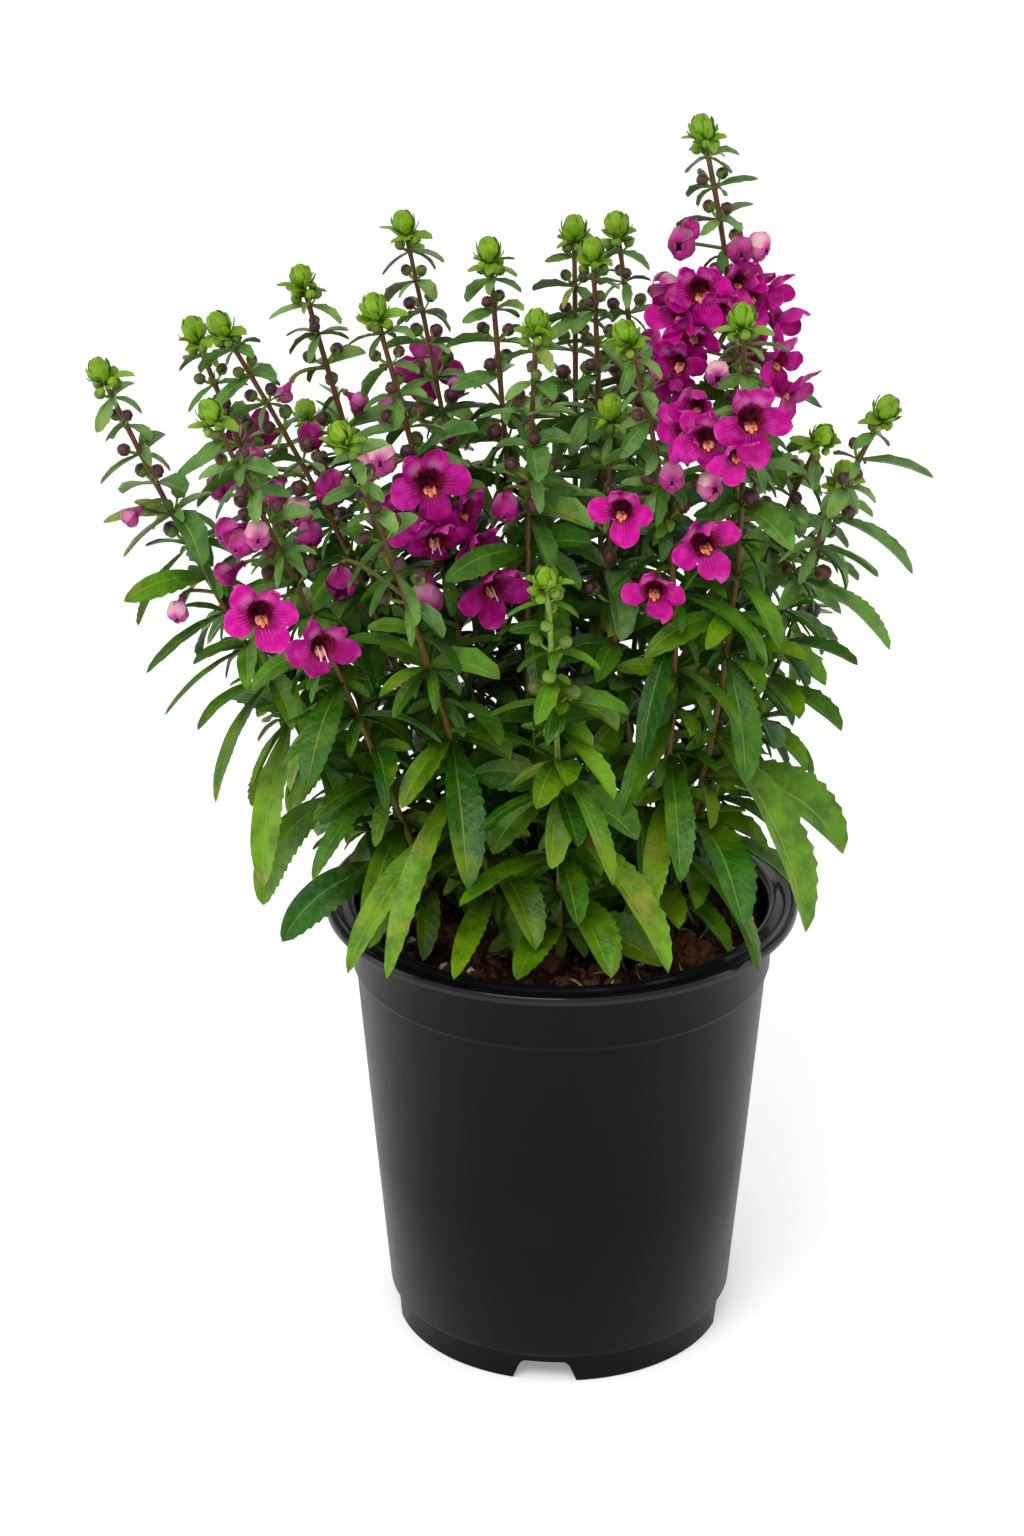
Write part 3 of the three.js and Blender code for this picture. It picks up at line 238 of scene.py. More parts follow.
def new_group(name, inputs, *outputs):
    """A node group. An input with a default is a number, and one without is a vector."""
    tree = bpy.data.node_groups.new(name, "ShaderNodeTree")
    for label, value in inputs.items():
        kind = "NodeSocketVector" if value is None else "NodeSocketFloat"
        socket = tree.interface.new_socket(label, in_out="INPUT", socket_type=kind)
        if value is not None:
            socket.default_value = value
    for label in outputs:
        tree.interface.new_socket(label, in_out="OUTPUT", socket_type="NodeSocketFloat")
    given = tree.nodes.new("NodeGroupInput").outputs
    return tree, [Wire(given[label]) for label in inputs], tree.nodes.new("NodeGroupOutput").inputs


class Finish:
    """A material with a Principled BSDF. Constant values are set on the shader's own sockets."""

    def __init__(self, name, **values):
        self.material = bpy.data.materials.new(name)
        self.material.use_nodes = True
        self.tree = self.material.node_tree
        self.shader = self.tree.nodes["Principled BSDF"].inputs
        for label, value in values.items():
            self.shader[label.replace("_", " ")].default_value = value

    def vector(self, name):
        return Wire(add_node(self.tree, "ShaderNodeAttribute", attribute_name=name).outputs["Vector"])

    def group(self, tree, inputs):
        node = self.tree.nodes.new("ShaderNodeGroup")
        node.node_tree = tree
        for name, value in inputs.items():
            plug(node.inputs[name], value)
        return [Wire(socket) for socket in node.outputs]

    def patches(self, scale, least, most):
        return self.group(PATCHES, {"Scale": scale, "Least": least, "Most": most})[0]

    def grain(self, scale, contrast=1.0):
        return self.group(GRAIN, {"Scale": scale, "Contrast": contrast})[0]

    def paint(self, colour):
        self.colour = colour
        plug(self.shader["Base Color"], colour)

    def coat(self, share, colour):
        """Lays a colour over what is there, by its share."""
        self.paint(blend(share, self.colour, colour))

    def bump(self, height, strength, distance):
        inputs = {"Height": height, "Strength": strength, "Distance": distance}
        plug(self.shader["Normal"], Wire(add_node(self.tree, "ShaderNodeBump", inputs).outputs["Normal"]))


# %% [markdown]
# Two effects come back in nearly every finish, so each is a node group. Grain is a fine unevenness, for
# the skin of a leaf or of moulded plastic. Patches are large soft areas, for colour that wanders.

# %% Grain and patches
def noise_over(tree, scale, detail):
    place = Wire(add_node(tree, "ShaderNodeTexCoord").outputs["Object"])
    inputs = {"Vector": place, "Scale": scale, "Detail": detail}
    return Wire(add_node(tree, "ShaderNodeTexNoise", inputs).outputs["Fac"])


GRAIN, (scale, contrast), made = new_group("grain", {"Scale": 900.0, "Contrast": 1.0}, "Height")
plug(made["Height"], maths("SUBTRACT", noise_over(GRAIN, scale, 3.0), 0.5) * contrast)
PATCHES, (scale, least, most), made = new_group("patches", {"Scale": 60.0, "Least": 0.5, "Most": 0.7}, "Mask")
plug(made["Mask"], ramp(noise_over(PATCHES, scale, 4.0), least, most))
print("groups", [g.name for g in bpy.data.node_groups])

# %% [markdown]
# The floor is a matt white sheet, lit from below as on a product table, so that it shows hardly any shadow.
# It keeps a very faint unevenness, so that it is not one dead colour.

# %% Floor finish
sheet = Finish("pale_floor", Roughness=0.9, Specular_IOR_Level=0.1, Emission_Strength=0.24)
sheet.paint(blend(sheet.patches(0.8, 0.3, 0.8), (246, 246, 246), (250, 250, 250)))
floor.data.materials.append(sheet.material)

# %% [markdown]
# The pot is moulded black polypropylene: dark grey rather than black, half matt, with a very fine grain and
# here and there a trace of dust. Only the crest of the rim, polished by the mould, has a thin coat of gloss.

# %% Pot finish
CREST_FROM = 0.1575
CREST_TO = 0.16

PLASTIC = Finish("black_plastic", Specular_IOR_Level=0.08, Coat_Roughness=0.14)
dust = PLASTIC.patches(24.0, 0.5, 0.85)
PLASTIC.paint(blend(dust, (9, 10, 13), (15, 16, 19)))
height = parts_of(Wire(add_node(PLASTIC.tree, "ShaderNodeTexCoord").outputs["Object"]))[2]
plug(PLASTIC.shader["Roughness"], scaled(dust, 0.1, 0.36))
plug(PLASTIC.shader["Coat Weight"], ramp(height, CREST_FROM, CREST_TO) * 0.45)
PLASTIC.bump(PLASTIC.grain(700.0) + PLASTIC.grain(30.0, 3.0), 0.12, 0.0006)

# %% [markdown]
# ## The pot
# A nursery pot is one thin shell: a rolled rim with a shallow groove in it, a band, a step, a tapering
# wall and a foot ring. It could be turned with Screw along a drawn profile. Extruding a circle ring by ring
# shows better what happens: each step is one extrude and one resize, and every ring can be told apart later.

# %% Pot sizes
RIM_RADIUS, RIM_TOP = 84, 165
CREST_RADIUS, POT_HEIGHT = 75.4, 165.4
BAND_RADIUS, BAND_BOTTOM = 74.6, 141
WALL_TOP_RADIUS, WALL_BOTTOM_RADIUS = 73.2, 62.2
FOOT_RADIUS, FOOT_HEIGHT = 59.8, 10.4
WALL_THICKNESS, FOOT_THICKNESS = 1.8, 2.4
FLOOR_TOP = FOOT_HEIGHT + WALL_THICKNESS
INNER_FOOT = FOOT_RADIUS - FOOT_THICKNESS
INNER_WALL = WALL_BOTTOM_RADIUS - WALL_THICKNESS
INNER_BAND = BAND_RADIUS - WALL_THICKNESS
POT_SIDES = 128

# Radius and height of each ring, from the middle of the underside, out over the rim and down inside
POT_PROFILE = (
    (8, FOOT_HEIGHT),
    (INNER_FOOT - 0.8, FOOT_HEIGHT),
    (INNER_FOOT, FOOT_HEIGHT - 0.8),
    (INNER_FOOT, 0.5),
    (INNER_FOOT + 0.5, 0),
    (FOOT_RADIUS - 0.5, 0),
    (FOOT_RADIUS, 0.5),
    (FOOT_RADIUS + 0.2, FOOT_HEIGHT - 1.2),
    (FOOT_RADIUS + 0.5, FOOT_HEIGHT),
    (WALL_BOTTOM_RADIUS - 0.5, FOOT_HEIGHT + 1.1),
    (WALL_BOTTOM_RADIUS, FOOT_HEIGHT + 2),
    (WALL_BOTTOM_RADIUS + 5, FOOT_HEIGHT + 58),
    (WALL_TOP_RADIUS, BAND_BOTTOM - 1.6),
    (WALL_TOP_RADIUS + 0.25, BAND_BOTTOM - 0.9),
    (BAND_RADIUS - 0.35, BAND_BOTTOM - 0.3),
    (BAND_RADIUS - 0.1, BAND_BOTTOM + 0.4),
    (BAND_RADIUS + 0.1, RIM_TOP - 5.2),
    (BAND_RADIUS + 0.9, RIM_TOP - 4.0),
    (BAND_RADIUS + 2.4, RIM_TOP - 3.4),
    (RIM_RADIUS - 0.7, RIM_TOP - 3.3),
    (RIM_RADIUS - 0.15, RIM_TOP - 2.8),
    (RIM_RADIUS, RIM_TOP - 2.0),
    (RIM_RADIUS - 0.1, RIM_TOP - 1.0),
    (RIM_RADIUS - 0.7, RIM_TOP - 0.2),
    (RIM_RADIUS - 1.7, RIM_TOP),
    (RIM_RADIUS - 3.0, RIM_TOP - 0.3),
    (RIM_RADIUS - 4.2, RIM_TOP - 1.0),
    (RIM_RADIUS - 5.6, RIM_TOP - 1.1),
    (RIM_RADIUS - 6.8, RIM_TOP - 0.5),
    (CREST_RADIUS + 0.8, POT_HEIGHT - 0.1),
    (CREST_RADIUS, POT_HEIGHT),
    (CREST_RADIUS - 0.9, POT_HEIGHT - 0.2),
    (INNER_BAND + 0.4, RIM_TOP - 1.2),
    (INNER_BAND, RIM_TOP - 2.6),
    (INNER_BAND, BAND_BOTTOM + 1),
    (WALL_TOP_RADIUS - WALL_THICKNESS, BAND_BOTTOM - 1),
    (INNER_WALL + 0.6, FLOOR_TOP + 3),
    (INNER_WALL - 2, FLOOR_TOP),
    (8, FLOOR_TOP),
)


# %% Turn the pot
def deselect():
    bpy.ops.object.select_all(action="DESELECT")


def only(piece):
    deselect()
    piece.select_set(True)
    bpy.context.view_layer.objects.active = piece


def turn_profile(name, profile, sides):
    """Extrudes a filled circle through the rings of a profile, each at its radius and height."""
    deselect()
    radius, height = profile[0]
    middle = AXIS + (0, 0, height * MM)
    bpy.ops.mesh.primitive_circle_add(vertices=sides, radius=radius * MM, fill_type="NGON", location=middle)
    piece = bpy.context.object
    piece.name = name
    bpy.ops.object.transform_apply(location=True)
    bpy.ops.object.mode_set(mode="EDIT")
    bpy.ops.mesh.select_all(action="SELECT")
    for (r0, z0), (r1, z1) in zip(profile, profile[1:]):
        bpy.ops.mesh.extrude_region_move(TRANSFORM_OT_translate={"value": (0, 0, (z1 - z0) * MM)})
        middle = tuple(AXIS + (0, 0, z1 * MM))
        bpy.ops.transform.resize(value=(r1 / r0, r1 / r0, 1), center_override=middle)
    bpy.ops.mesh.select_all(action="SELECT")
    bpy.ops.mesh.normals_make_consistent(inside=False)
    bpy.ops.object.mode_set(mode="OBJECT")
    return piece


def finish_piece(piece, finish, smooth):
    only(piece)
    bpy.ops.object.shade_smooth_by_angle(angle=math.radians(smooth))
    piece.data.materials.clear()
    piece.data.materials.append(finish.material)


def face_count(piece):
    return len(piece.data.polygons)


pot = turn_profile("nursery_pot", POT_PROFILE, POT_SIDES)
print("pot rings", len(POT_PROFILE), "faces", face_count(pot))

# %% [markdown]
# Four notches in the foot ring let the water out, and four holes pierce the raised floor. Each is cut with
# a Boolean: a cube for a notch, with its two upper edges bevelled, and a short cylinder for a hole.

# %% Notches and drain holes
NOTCH_ANGLES = (-95, -176, -8, 88)
NOTCH_WIDTH, NOTCH_HEIGHT, NOTCH_DEPTH = 19, 8, 12
NOTCH_ROUNDING = 2
NOTCH_FLARE = 0.34
NOTCH_PINCH = 0.12
BELOW_FLOOR = 4
DRAIN_ANGLES = (-50, -130, 130, 40)
DRAIN_RADIUS, DRAIN_RING, DRAIN_DEPTH = 6, 42, 8


def way_at(angle):
    """The level direction at this angle round the pot, in degrees."""
    turned = math.radians(angle)
    return np.array((math.cos(turned), math.sin(turned), 0))


def cube_at(angle, away, height, size):
    """A cube on a circle round the pot, stretched outwards, along the circle and upwards."""
    deselect()
    place = AXIS + way_at(angle) * away * MM + (0, 0, height * MM)
    bpy.ops.mesh.primitive_cube_add(size=1, location=place, rotation=(0, 0, math.radians(angle)))
    cube = bpy.context.object
    cube.scale = [side * MM for side in size]
    bpy.ops.object.transform_apply(location=True, rotation=True, scale=True)
    return cube


def notch_cutter(angle):
    """A cube with rounded upper edges along its depth, that widens towards the ground."""
    size = (NOTCH_DEPTH, NOTCH_WIDTH, NOTCH_HEIGHT + BELOW_FLOOR)
    cutter = cube_at(angle, FOOT_RADIUS - 1, NOTCH_HEIGHT / 2 - BELOW_FLOOR / 2, size)
    mesh, way = cutter.data, way_at(angle)
    across = np.array((-way[1], way[0], 0))
    bpy.ops.object.mode_set(mode="EDIT")
    bpy.ops.mesh.select_all(action="DESELECT")
    bpy.ops.object.mode_set(mode="OBJECT")
    for edge in mesh.edges:
        a, b = (np.array(mesh.vertices[v].co) - AXIS for v in edge.vertices)
        upper = min(a[2], b[2]) > (NOTCH_HEIGHT - 1) * MM
        edge.select = bool(upper and abs((a - b) @ way) > 0.6 * NOTCH_DEPTH * MM)
    bpy.ops.object.mode_set(mode="EDIT")
    bpy.ops.mesh.select_mode(type="EDGE")
    bpy.ops.mesh.bevel(offset=NOTCH_ROUNDING * MM, segments=4)
    bpy.ops.object.mode_set(mode="OBJECT")
    for vertex in mesh.vertices:
        aside = (np.array(vertex.co) - AXIS) @ across
        share = 1 - vertex.co.z / (NOTCH_HEIGHT * MM)
        vertex.co += Vector(across * aside * (NOTCH_FLARE * share - NOTCH_PINCH))
    return cutter


def drain_cutter(angle):
    deselect()
    place = AXIS + (way_at(angle) * DRAIN_RING + (0, 0, FOOT_HEIGHT + 1)) * MM
    bpy.ops.mesh.primitive_cylinder_add(
        vertices=32, radius=DRAIN_RADIUS * MM, depth=DRAIN_DEPTH * MM, location=place
    )
    return bpy.context.object


for make, angles in ((notch_cutter, NOTCH_ANGLES), (drain_cutter, DRAIN_ANGLES)):
    for angle in angles:
        cutter = make(angle)
        only(pot)
        modifier = pot.modifiers.new("cut", "BOOLEAN")
        modifier.object = cutter
        modifier.solver = "EXACT"
        bpy.ops.object.modifier_apply(modifier="cut")
        bpy.data.objects.remove(cutter)
print("pot with notches and holes, faces", face_count(pot))

# %% [markdown]
# Two small moulding lugs stand out at the lower edge of the band, one on each side. Each is a cube whose
# edges are broken with a bevel, and it is then joined to the pot.

# %% Lugs
LUG_ANGLES = (176, 4)
LUG_SIZE = (2.4, 4, 6)
LUG_SUNK = 0.4
LUG_RISE = 3.4
LUG_BEVEL = 0.5
for angle in LUG_ANGLES:
    lug = cube_at(angle, BAND_RADIUS - LUG_SUNK, BAND_BOTTOM + LUG_RISE, LUG_SIZE)
    only(lug)
    bevel = lug.modifiers.new("soft_edges", "BEVEL")
    bevel.width = LUG_BEVEL * MM
    bevel.segments = 1
    bpy.ops.object.modifier_apply(modifier="soft_edges")
    pot.select_set(True)
    bpy.context.view_layer.objects.active = pot
    bpy.ops.object.join()
finish_piece(pot, PLASTIC, 35)
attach(pot, "root")
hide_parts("pot")
print("pot faces", face_count(pot))

# %% [markdown]
# ## How the plant grows
# The CAD model's plant is grown by a rule, and the same rule is written out here, so that every leaf and
# bud stands where the solid has it. The solid shows only some of the small leaves. Here all are made, but
# for a few that would hide an open floret.
#
# The sums are kept in the same order as the CAD model's, so that both come to the same plant, and chance is
# a hash of whole numbers, the same every time. A stem is a quadratic curve from its foot to its tip.

# %% Sums of the rule
MEASURE_STEPS = 40


def dot(a, b):
    return a[0] * b[0] + a[1] * b[1] + a[2] * b[2]


def length(a):
    return math.sqrt(dot(a, a))


def unit(a):
    return np.asarray(a, float) * (1 / length(a))


def mix(a, b, k):
    return a + (b - a) * k


def clamped(a):
    return min(1, max(0, a))


def chance(a, b, c):
    """A number from 0 to 1 that depends only on its three whole-number seeds."""
    h = ((a * 73856093) ^ (b * 19349663) ^ (c * 83492791)) & 0xFFFFFFFF
    h = ((h ^ (h >> 13)) * 1274126177) & 0xFFFFFFFF
    return (h ^ (h >> 16)) / 4294967296


def curve_point(curve, t):
    return curve.foot * ((1 - t) * (1 - t)) + curve.pull * (2 * t * (1 - t)) + curve.tip * (t * t)


def curve_heading(curve, t):
    return unit((curve.pull - curve.foot) * (1 - t) + (curve.tip - curve.pull) * t)


def place_below_tip(stem, distance):
    """How far up the stem, from 0 to 1, the point is that lies a given distance below its tip."""
    walked, last = 0, stem.tip
    for i in range(MEASURE_STEPS - 1, -1, -1):
        here = curve_point(stem, i / MEASURE_STEPS)
        step = length(here - last)
        if walked + step >= distance:
            return (i + 1 - (distance - walked) / step) / MEASURE_STEPS
        walked += step
        last = here
    return -1


# %% [markdown]
# Each stem has a node, a name, a start, the middle of its curve and the middle of its end globe. It starts in
# the soil, or at a place along another stem.

# %% Grow the stems
STEM_RADIUS = (1.8, 1.2)
BRANCH_RADIUS = (1.6, 1.1)
TIP_LENGTH = 14
TIP_RADIUS = 4.6
SOIL_TOP = 151.5
SOIL_LUMP = 2.2
SOIL_CLEARANCE = 5.5
GAP = 0.35
FOOT_DEPTH = 130
GLOBE_RISE = 4.5

STEMS = (
    (1, "s1", (-22, -6), (-92, -8, 232), (-157, -10, 361)),
    (1, "s4", ("s1", 0.14), (-73, -42, 260), (-116, -60, 363)),
    (2, "s2", (-20, 12), (-82, 25, 250), (-129, 32, 363)),
    (2, "s3", ("s2", 0.16), (-64, 10, 264), (-119, 10, 371)),
    (3, "s5", (-12, 22), (-56, 27, 262), (-91, 30, 382)),
    (3, "s7", ("s5", 0.15), (-34, 46, 270), (-57, 60, 393)),
    (4, "s6", (-11, 0), (-36, -2, 264), (-65, 0, 381)),
    (5, "s8", (-15, -21), (-40, -44, 252), (-73, -70, 359)),
    (6, "s9", (-3, 11), (-15, 15, 268), (-26, 20, 395)),
    (6, "s10", ("s9", 0.2), (-12, -12, 268), (-9, -20, 382)),
    (7, "s11", (1, 30), (4, 50, 262), (3, 70, 389)),
    (7, "b1", ("s11", 0.12), (-24, 76, 236), (-45, 98, 308)),
    (7, "b2", ("s11", 0.2), (16, 84, 240), (22, 108, 306)),
    (8, "s12", (8, 8), (13, 14, 262), (9, 20, 395)),
    (8, "s13", ("s12", 0.2), (27, 42, 272), (17, 60, 393)),
    (9, "s14", (17, -17), (38, -28, 262), (18, -40, 384)),
    (9, "s19", ("s14", 0.24), (18, -18, 270), (16, -8, 349)),
    (10, "s15", (22, 12), (58, 14, 288), (44, 20, 437)),
    (10, "b3", ("s15", 0.12), (56, 56, 236), (74, 80, 314)),
    (11, "s16", (27, -9), (55, -24, 262), (57, -40, 390)),
    (12, "s17", (30, 2), (66, -3, 248), (110, -10, 349)),
    (12, "s18", ("s17", 0.3), (66, 14, 272), (88, -14, 339)),
    (12, "b5", ("s17", 0.18), (74, 34, 232), (100, 50, 306)),
    (13, "s20", (-2, -28), (-1, -52, 222), (-6, -90, 317)),
    (14, "b4", (-24, 30), (-66, 60, 238), (-94, 80, 318)),
)
YOUNG_STEM = "s20"

stems = []
stem_named = {}
for group, name, start, middle, globe in STEMS:
    parent = stem_named.get(start[0])
    foot = curve_point(parent, start[1]) if parent else np.array((*start, FOOT_DEPTH), float)
    tip = np.array(globe) + (0, 0, GLOBE_RISE)
    pull = np.array(middle) * 2 - (foot + tip) * 0.5
    stem = SimpleNamespace(group=group, name=name, foot=foot, pull=pull, tip=tip, parent=parent)
    stem.seed = len(stems) + 1
    stem.radius = BRANCH_RADIUS if parent else STEM_RADIUS
    stems.append(stem)
    stem_named[name] = stem
groups = sorted({stem.group for stem in stems})
print("stems", len(stems), "in", len(groups), "nodes")

# %% [markdown]
# Nothing may grow through anything else. What stands already is kept as marks, points with a radius, sorted
# into cells, and a new leaf is tried against them. A leaf's own root may touch its stem.

# %% Room that is taken
CELL = 6
BLOCK = 3
CLEARANCE = 0.45
RIM_CLEARANCE = 2.6
MARK = [("at", float, 3), ("cell", int, 3), ("radius", float)]
MARK += [("near_root", bool), ("group", int), ("owner", int)]


class TakenRoom:
    def __init__(self, most=200000):
        self.marks = np.zeros(most, MARK)
        self.blocks = {}
        self.count = 0

    def take(self, at, radius, near_root, group, owner=0):
        new = self.marks[self.count : self.count + len(at)]
        new["at"], new["radius"], new["near_root"] = at, radius, near_root
        new["group"], new["owner"] = group, owner
        new["cell"] = np.floor(new["at"] / CELL)
        for row, block in enumerate((new["cell"] // BLOCK).tolist(), self.count):
            self.blocks.setdefault(tuple(block), []).append(row)
        self.count += len(at)

    def is_clear(self, at, radius, near_root, group, stem_seed):
        at = np.asarray(at, float)
        cell = np.floor(at / CELL).astype(int)
        low, high = cell.min(0) - 1, cell.max(0) + 1
        blocks = product(*(range(a // BLOCK, b // BLOCK + 1) for a, b in zip(low, high)))
        near = self.marks[[row for block in blocks for row in self.blocks.get(block, ())]]
        near = near[np.all((near["cell"] >= low) & (near["cell"] <= high), axis=1)]
        if not len(near):
            return True
        beside = np.all(np.abs(cell[:, None] - near["cell"][None]) <= 1, axis=2)
        gap = at[:, None] - near["at"][None]
        away = gap[..., 0] * gap[..., 0] + gap[..., 1] * gap[..., 1] + gap[..., 2] * gap[..., 2]
        reach = radius + near["radius"] + CLEARANCE
        rooted = np.broadcast_to(near_root, len(at))[:, None]
        passed = (near["group"] == group) & rooted & ((near["owner"] == stem_seed) | near["near_root"])
        return not np.any(beside & ~passed & (away < reach * reach))


def clear_of_pot(at):
    """Leaves stay above the soil, off the rim, and off the outside of the pot."""
    away = np.hypot(at[:, 0], at[:, 1])
    outside = (at[:, 2] > RIM_TOP + RIM_CLEARANCE) | (away > RIM_RADIUS + RIM_CLEARANCE)
    inside = (away < BAND_RADIUS - 2 * RIM_CLEARANCE) & (at[:, 2] > SOIL_TOP + SOIL_CLEARANCE)
    return bool(np.all(outside | inside))


room = TakenRoom()
for stem in stems:
    count = math.ceil(length(stem.tip - stem.foot) / 2)
    at = [curve_point(stem, i / count) for i in range(count + 1)]
    radius = [mix(*stem.radius, i / count) for i in range(count + 1)]
    at += [stem.tip - curve_heading(stem, 1) * (TIP_LENGTH / 2), stem.tip]
    room.take(at, [*radius, TIP_RADIUS, 2], False, stem.group, stem.seed)
print("marks on the stems", room.count)

# %% [markdown]
# The blooms. A floret has its place, width, how open it is, and the way it faces: turned from +X, raised, and
# leaning to one side, in degrees. Florets of one node touch each other.

# %% Florets of the plant
# Node, stem, and for each floret x, y, z, width, openness, turned, raised, leaning
BLOOMS = (
    (1, "s6", (-45, -24, 327, 25, 1, -84, 12, 8), (-54, -20, 315, 19, 0.9, -120, -4, -10),
     (-43, -22, 306, 22, 0.9, -78, -22, 0)),
    (2, "s6", (-33, -12, 313, 19, 0.8, -40, 0, 0), (-30, -12, 301, 16, 0.7, -50, -20, 0)),
    (3, "s6", (-46, -17, 287, 16, 0.5, -100, -35, 0)),
    (4, "s6", (-24, -22, 289, 20, 0.65, -65, -12, 0)),
    (5, "s4", (-99, -68, 297, 24, 1, -82, 4, 12)),
    (6, "s4", (-79, -66, 285, 22, 0.95, -68, 2, -6)),
    (7, "s4", (-100, -62, 323, 13, 0.35, -80, 0, 0), (-104, -61, 320, 13, 0.35, -110, -5, 0),
     (-107, -60, 323, 13, 0.35, -130, 0, 0)),
    (8, "s4", (-109, -52, 306, 11, 0.3, -150, -20, 0)),
    (9, "s5", (-90, 10, 306, 14, 0.35, -100, -5, 0), (-88, 6, 300, 14, 0.35, -75, -25, 0)),
    (10, "s5", (-80, 8, 315, 16, 0.4, -80, 0, 0)),
    (11, "s5", (-86, 16, 330, 13, 0.4, -100, 10, 0)),
    (12, "s6", (-60, -13, 332, 15, 0.35, -100, 8, 0), (-64, -12, 329, 14, 0.4, -140, -10, 0)),
    (13, "s3", (-97, -2, 317, 13, 0.3, -110, -20, 0)),
    (14, "s1", (-130, -20, 281, 11, 0.4, -100, -25, 0)),
    (15, "s1", (-144, -20, 314, 9, 0.25, -140, -30, 0)),
    (16, "s5", (-95, 20, 345, 9, 0.25, -170, -60, 0)),
    (17, "s5", (-72, 20, 342, 10, 0.3, -40, -20, 0)),
    (18, "s9", (-38, 14, 333, 10, 0.3, -150, -30, 0)),
    (19, "s9", (-35, 28, 345, 9, 0.3, 160, -30, 0)),
    (20, "s10", (-19, -28, 322, 14, 0.35, -95, -20, 0)),
    (21, "s15", (40, 6, 401, 14, 0.4, -110, 15, 0), (42, 7, 405, 10, 0.3, -100, 20, 0)),
    (22, "s15", (62, 12, 399, 13, 0.35, -40, 0, 0), (58, 10, 398, 13, 0.35, -85, 5, 0)),
    (23, "s15", (45, 2, 386, 22, 0.85, -96, 6, 6), (37, 8, 385, 14, 0.5, -140, 5, 0),
     (38, 6, 377, 17, 0.6, -130, 0, 0), (51, 4, 379, 16, 0.7, -84, -20, 0),
     (43, 3, 370, 17, 0.7, -104, -15, 0)),
    (24, "s15", (38, 2, 361, 19, 0.8, -120, -8, 0), (38, 2, 353, 15, 0.6, -116, -28, 0)),
    (25, "s15", (58, 6, 388, 15, 0.6, -75, 5, 0), (63, 9, 383, 18, 0.7, -50, 5, 0),
     (69, 16, 380, 15, 0.6, -30, 5, 0), (72, 16, 371, 16, 0.6, -25, -20, 0)),
    (26, "s15", (72, 4, 361, 18, 0.75, -45, -5, 0), (76, 2, 351, 17, 0.65, -35, -20, 0)),
    (27, "s15", (51, -4, 360, 12, 0.4, -90, 0, 0)),
    (28, "s16", (60, -58, 361, 24, 1, -82, 10, 4), (56, -56, 348, 17, 0.7, -80, -25, 0),
     (46, -54, 353, 21, 0.9, -104, 4, 14), (43, -50, 363, 15, 0.55, -110, 10, 0),
     (38, -46, 353, 17, 0.7, -140, 0, 0)),
    (30, "s14", (19, -50, 327, 20, 0.9, -98, 2, -4)),
    (31, "s14", (35, -52, 340, 13, 0.35, -90, 0, 0)),
    (32, "s14", (46, -48, 315, 23, 1, -78, 4, 24)),
    (33, "s14", (30, -50, 299, 20, 0.9, -92, -12, 0)),
    (34, "s14", (46, -42, 333, 13, 0.4, -60, 10, 0)),
    (35, "s7", (-48, 76, 336, 22, 1, 95, 5, 0)),
    (36, "s7", (-58, 72, 320, 16, 0.5, 130, -15, 0)),
    (37, "s13", (26, 76, 338, 23, 1, 88, 6, 0)),
    (38, "s13", (34, 70, 320, 16, 0.5, 60, -15, 0)),
    (39, "s15", (60, 34, 376, 22, 0.95, 60, 8, 0)),
    (40, "s15", (62, 36, 354, 19, 0.8, 50, -8, 0)),
    (41, "s2", (-110, 50, 318, 21, 0.95, 110, 4, 0)),
    (42, "s2", (-118, 44, 302, 14, 0.4, 150, -20, 0)),
    (43, "s8", (-74, -38, 299, 14, 0.45, -90, -15, 0)),
    (29, "s3", (-104, -6, 330, 11, 0.3, -95, 0, 0)),
)

# Lobes of a floret, seen from the front: angle, half angle and reach as a share of the width
LOBES = ((62, 25, 0.47), (118, 25, 0.47), (192, 27, 0.5), (270, 27, 0.56), (348, 27, 0.5))
THROAT_RADIUS = 0.16
TUBE_DEPTH = 0.44
CLOSED_FOLD, OPEN_FOLD = 78, -4


# %% Stand the florets
def stand_floret(group, stem, row):
    x, y, z, width, openness, turn, raised, lean = row
    turn, raised, lean = (math.radians(a) for a in (turn, raised, lean))
    face = np.array((math.cos(turn) * math.cos(raised), math.sin(turn) * math.cos(raised), math.sin(raised)))
    level = unit(np.cross((0, 0, 1), face))
    upright = np.cross(face, level)
    c, s = math.cos(lean), math.sin(lean)
    bloom = SimpleNamespace(group=group, stem=stem, at=np.array((x, y, z), float), width=width, open=openness)
    bloom.face, bloom.right, bloom.up = face, level * c + upright * s, upright * c + level * -s
    return bloom


def bloom_point(bloom, x, y, z):
    """A point of a floret from its own right, up and forward distances."""
    return bloom.at + (bloom.right * x + (bloom.up * y + bloom.face * z))


def petal_point(bloom, angle, reach):
    fold = math.radians(mix(CLOSED_FOLD, OPEN_FOLD, bloom.open))
    beyond = reach - THROAT_RADIUS
    out = (THROAT_RADIUS + beyond * math.cos(fold)) * bloom.width
    forward = beyond * math.sin(fold) * bloom.width
    turned = math.radians(angle)
    return bloom_point(bloom, out * math.cos(turned), out * math.sin(turned), forward)


def bloom_marks(bloom):
    at, radius = [], []
    for depth in (0, 0.15, 0.3, TUBE_DEPTH):
        at.append(bloom_point(bloom, 0, 0, -depth * bloom.width))
        radius.append(mix(0.17, 0.04, depth / TUBE_DEPTH) * bloom.width)
    for angle, half, reach in LOBES:
        at.append(petal_point(bloom, angle, 0.27))
        radius.append(1.4)
        for side in (-0.8, 0, 0.8):
            at += [petal_point(bloom, angle + side * half, reach * share) for share in (0.72, 0.98)]
            radius += [1.4, 1.2]
    return at, radius


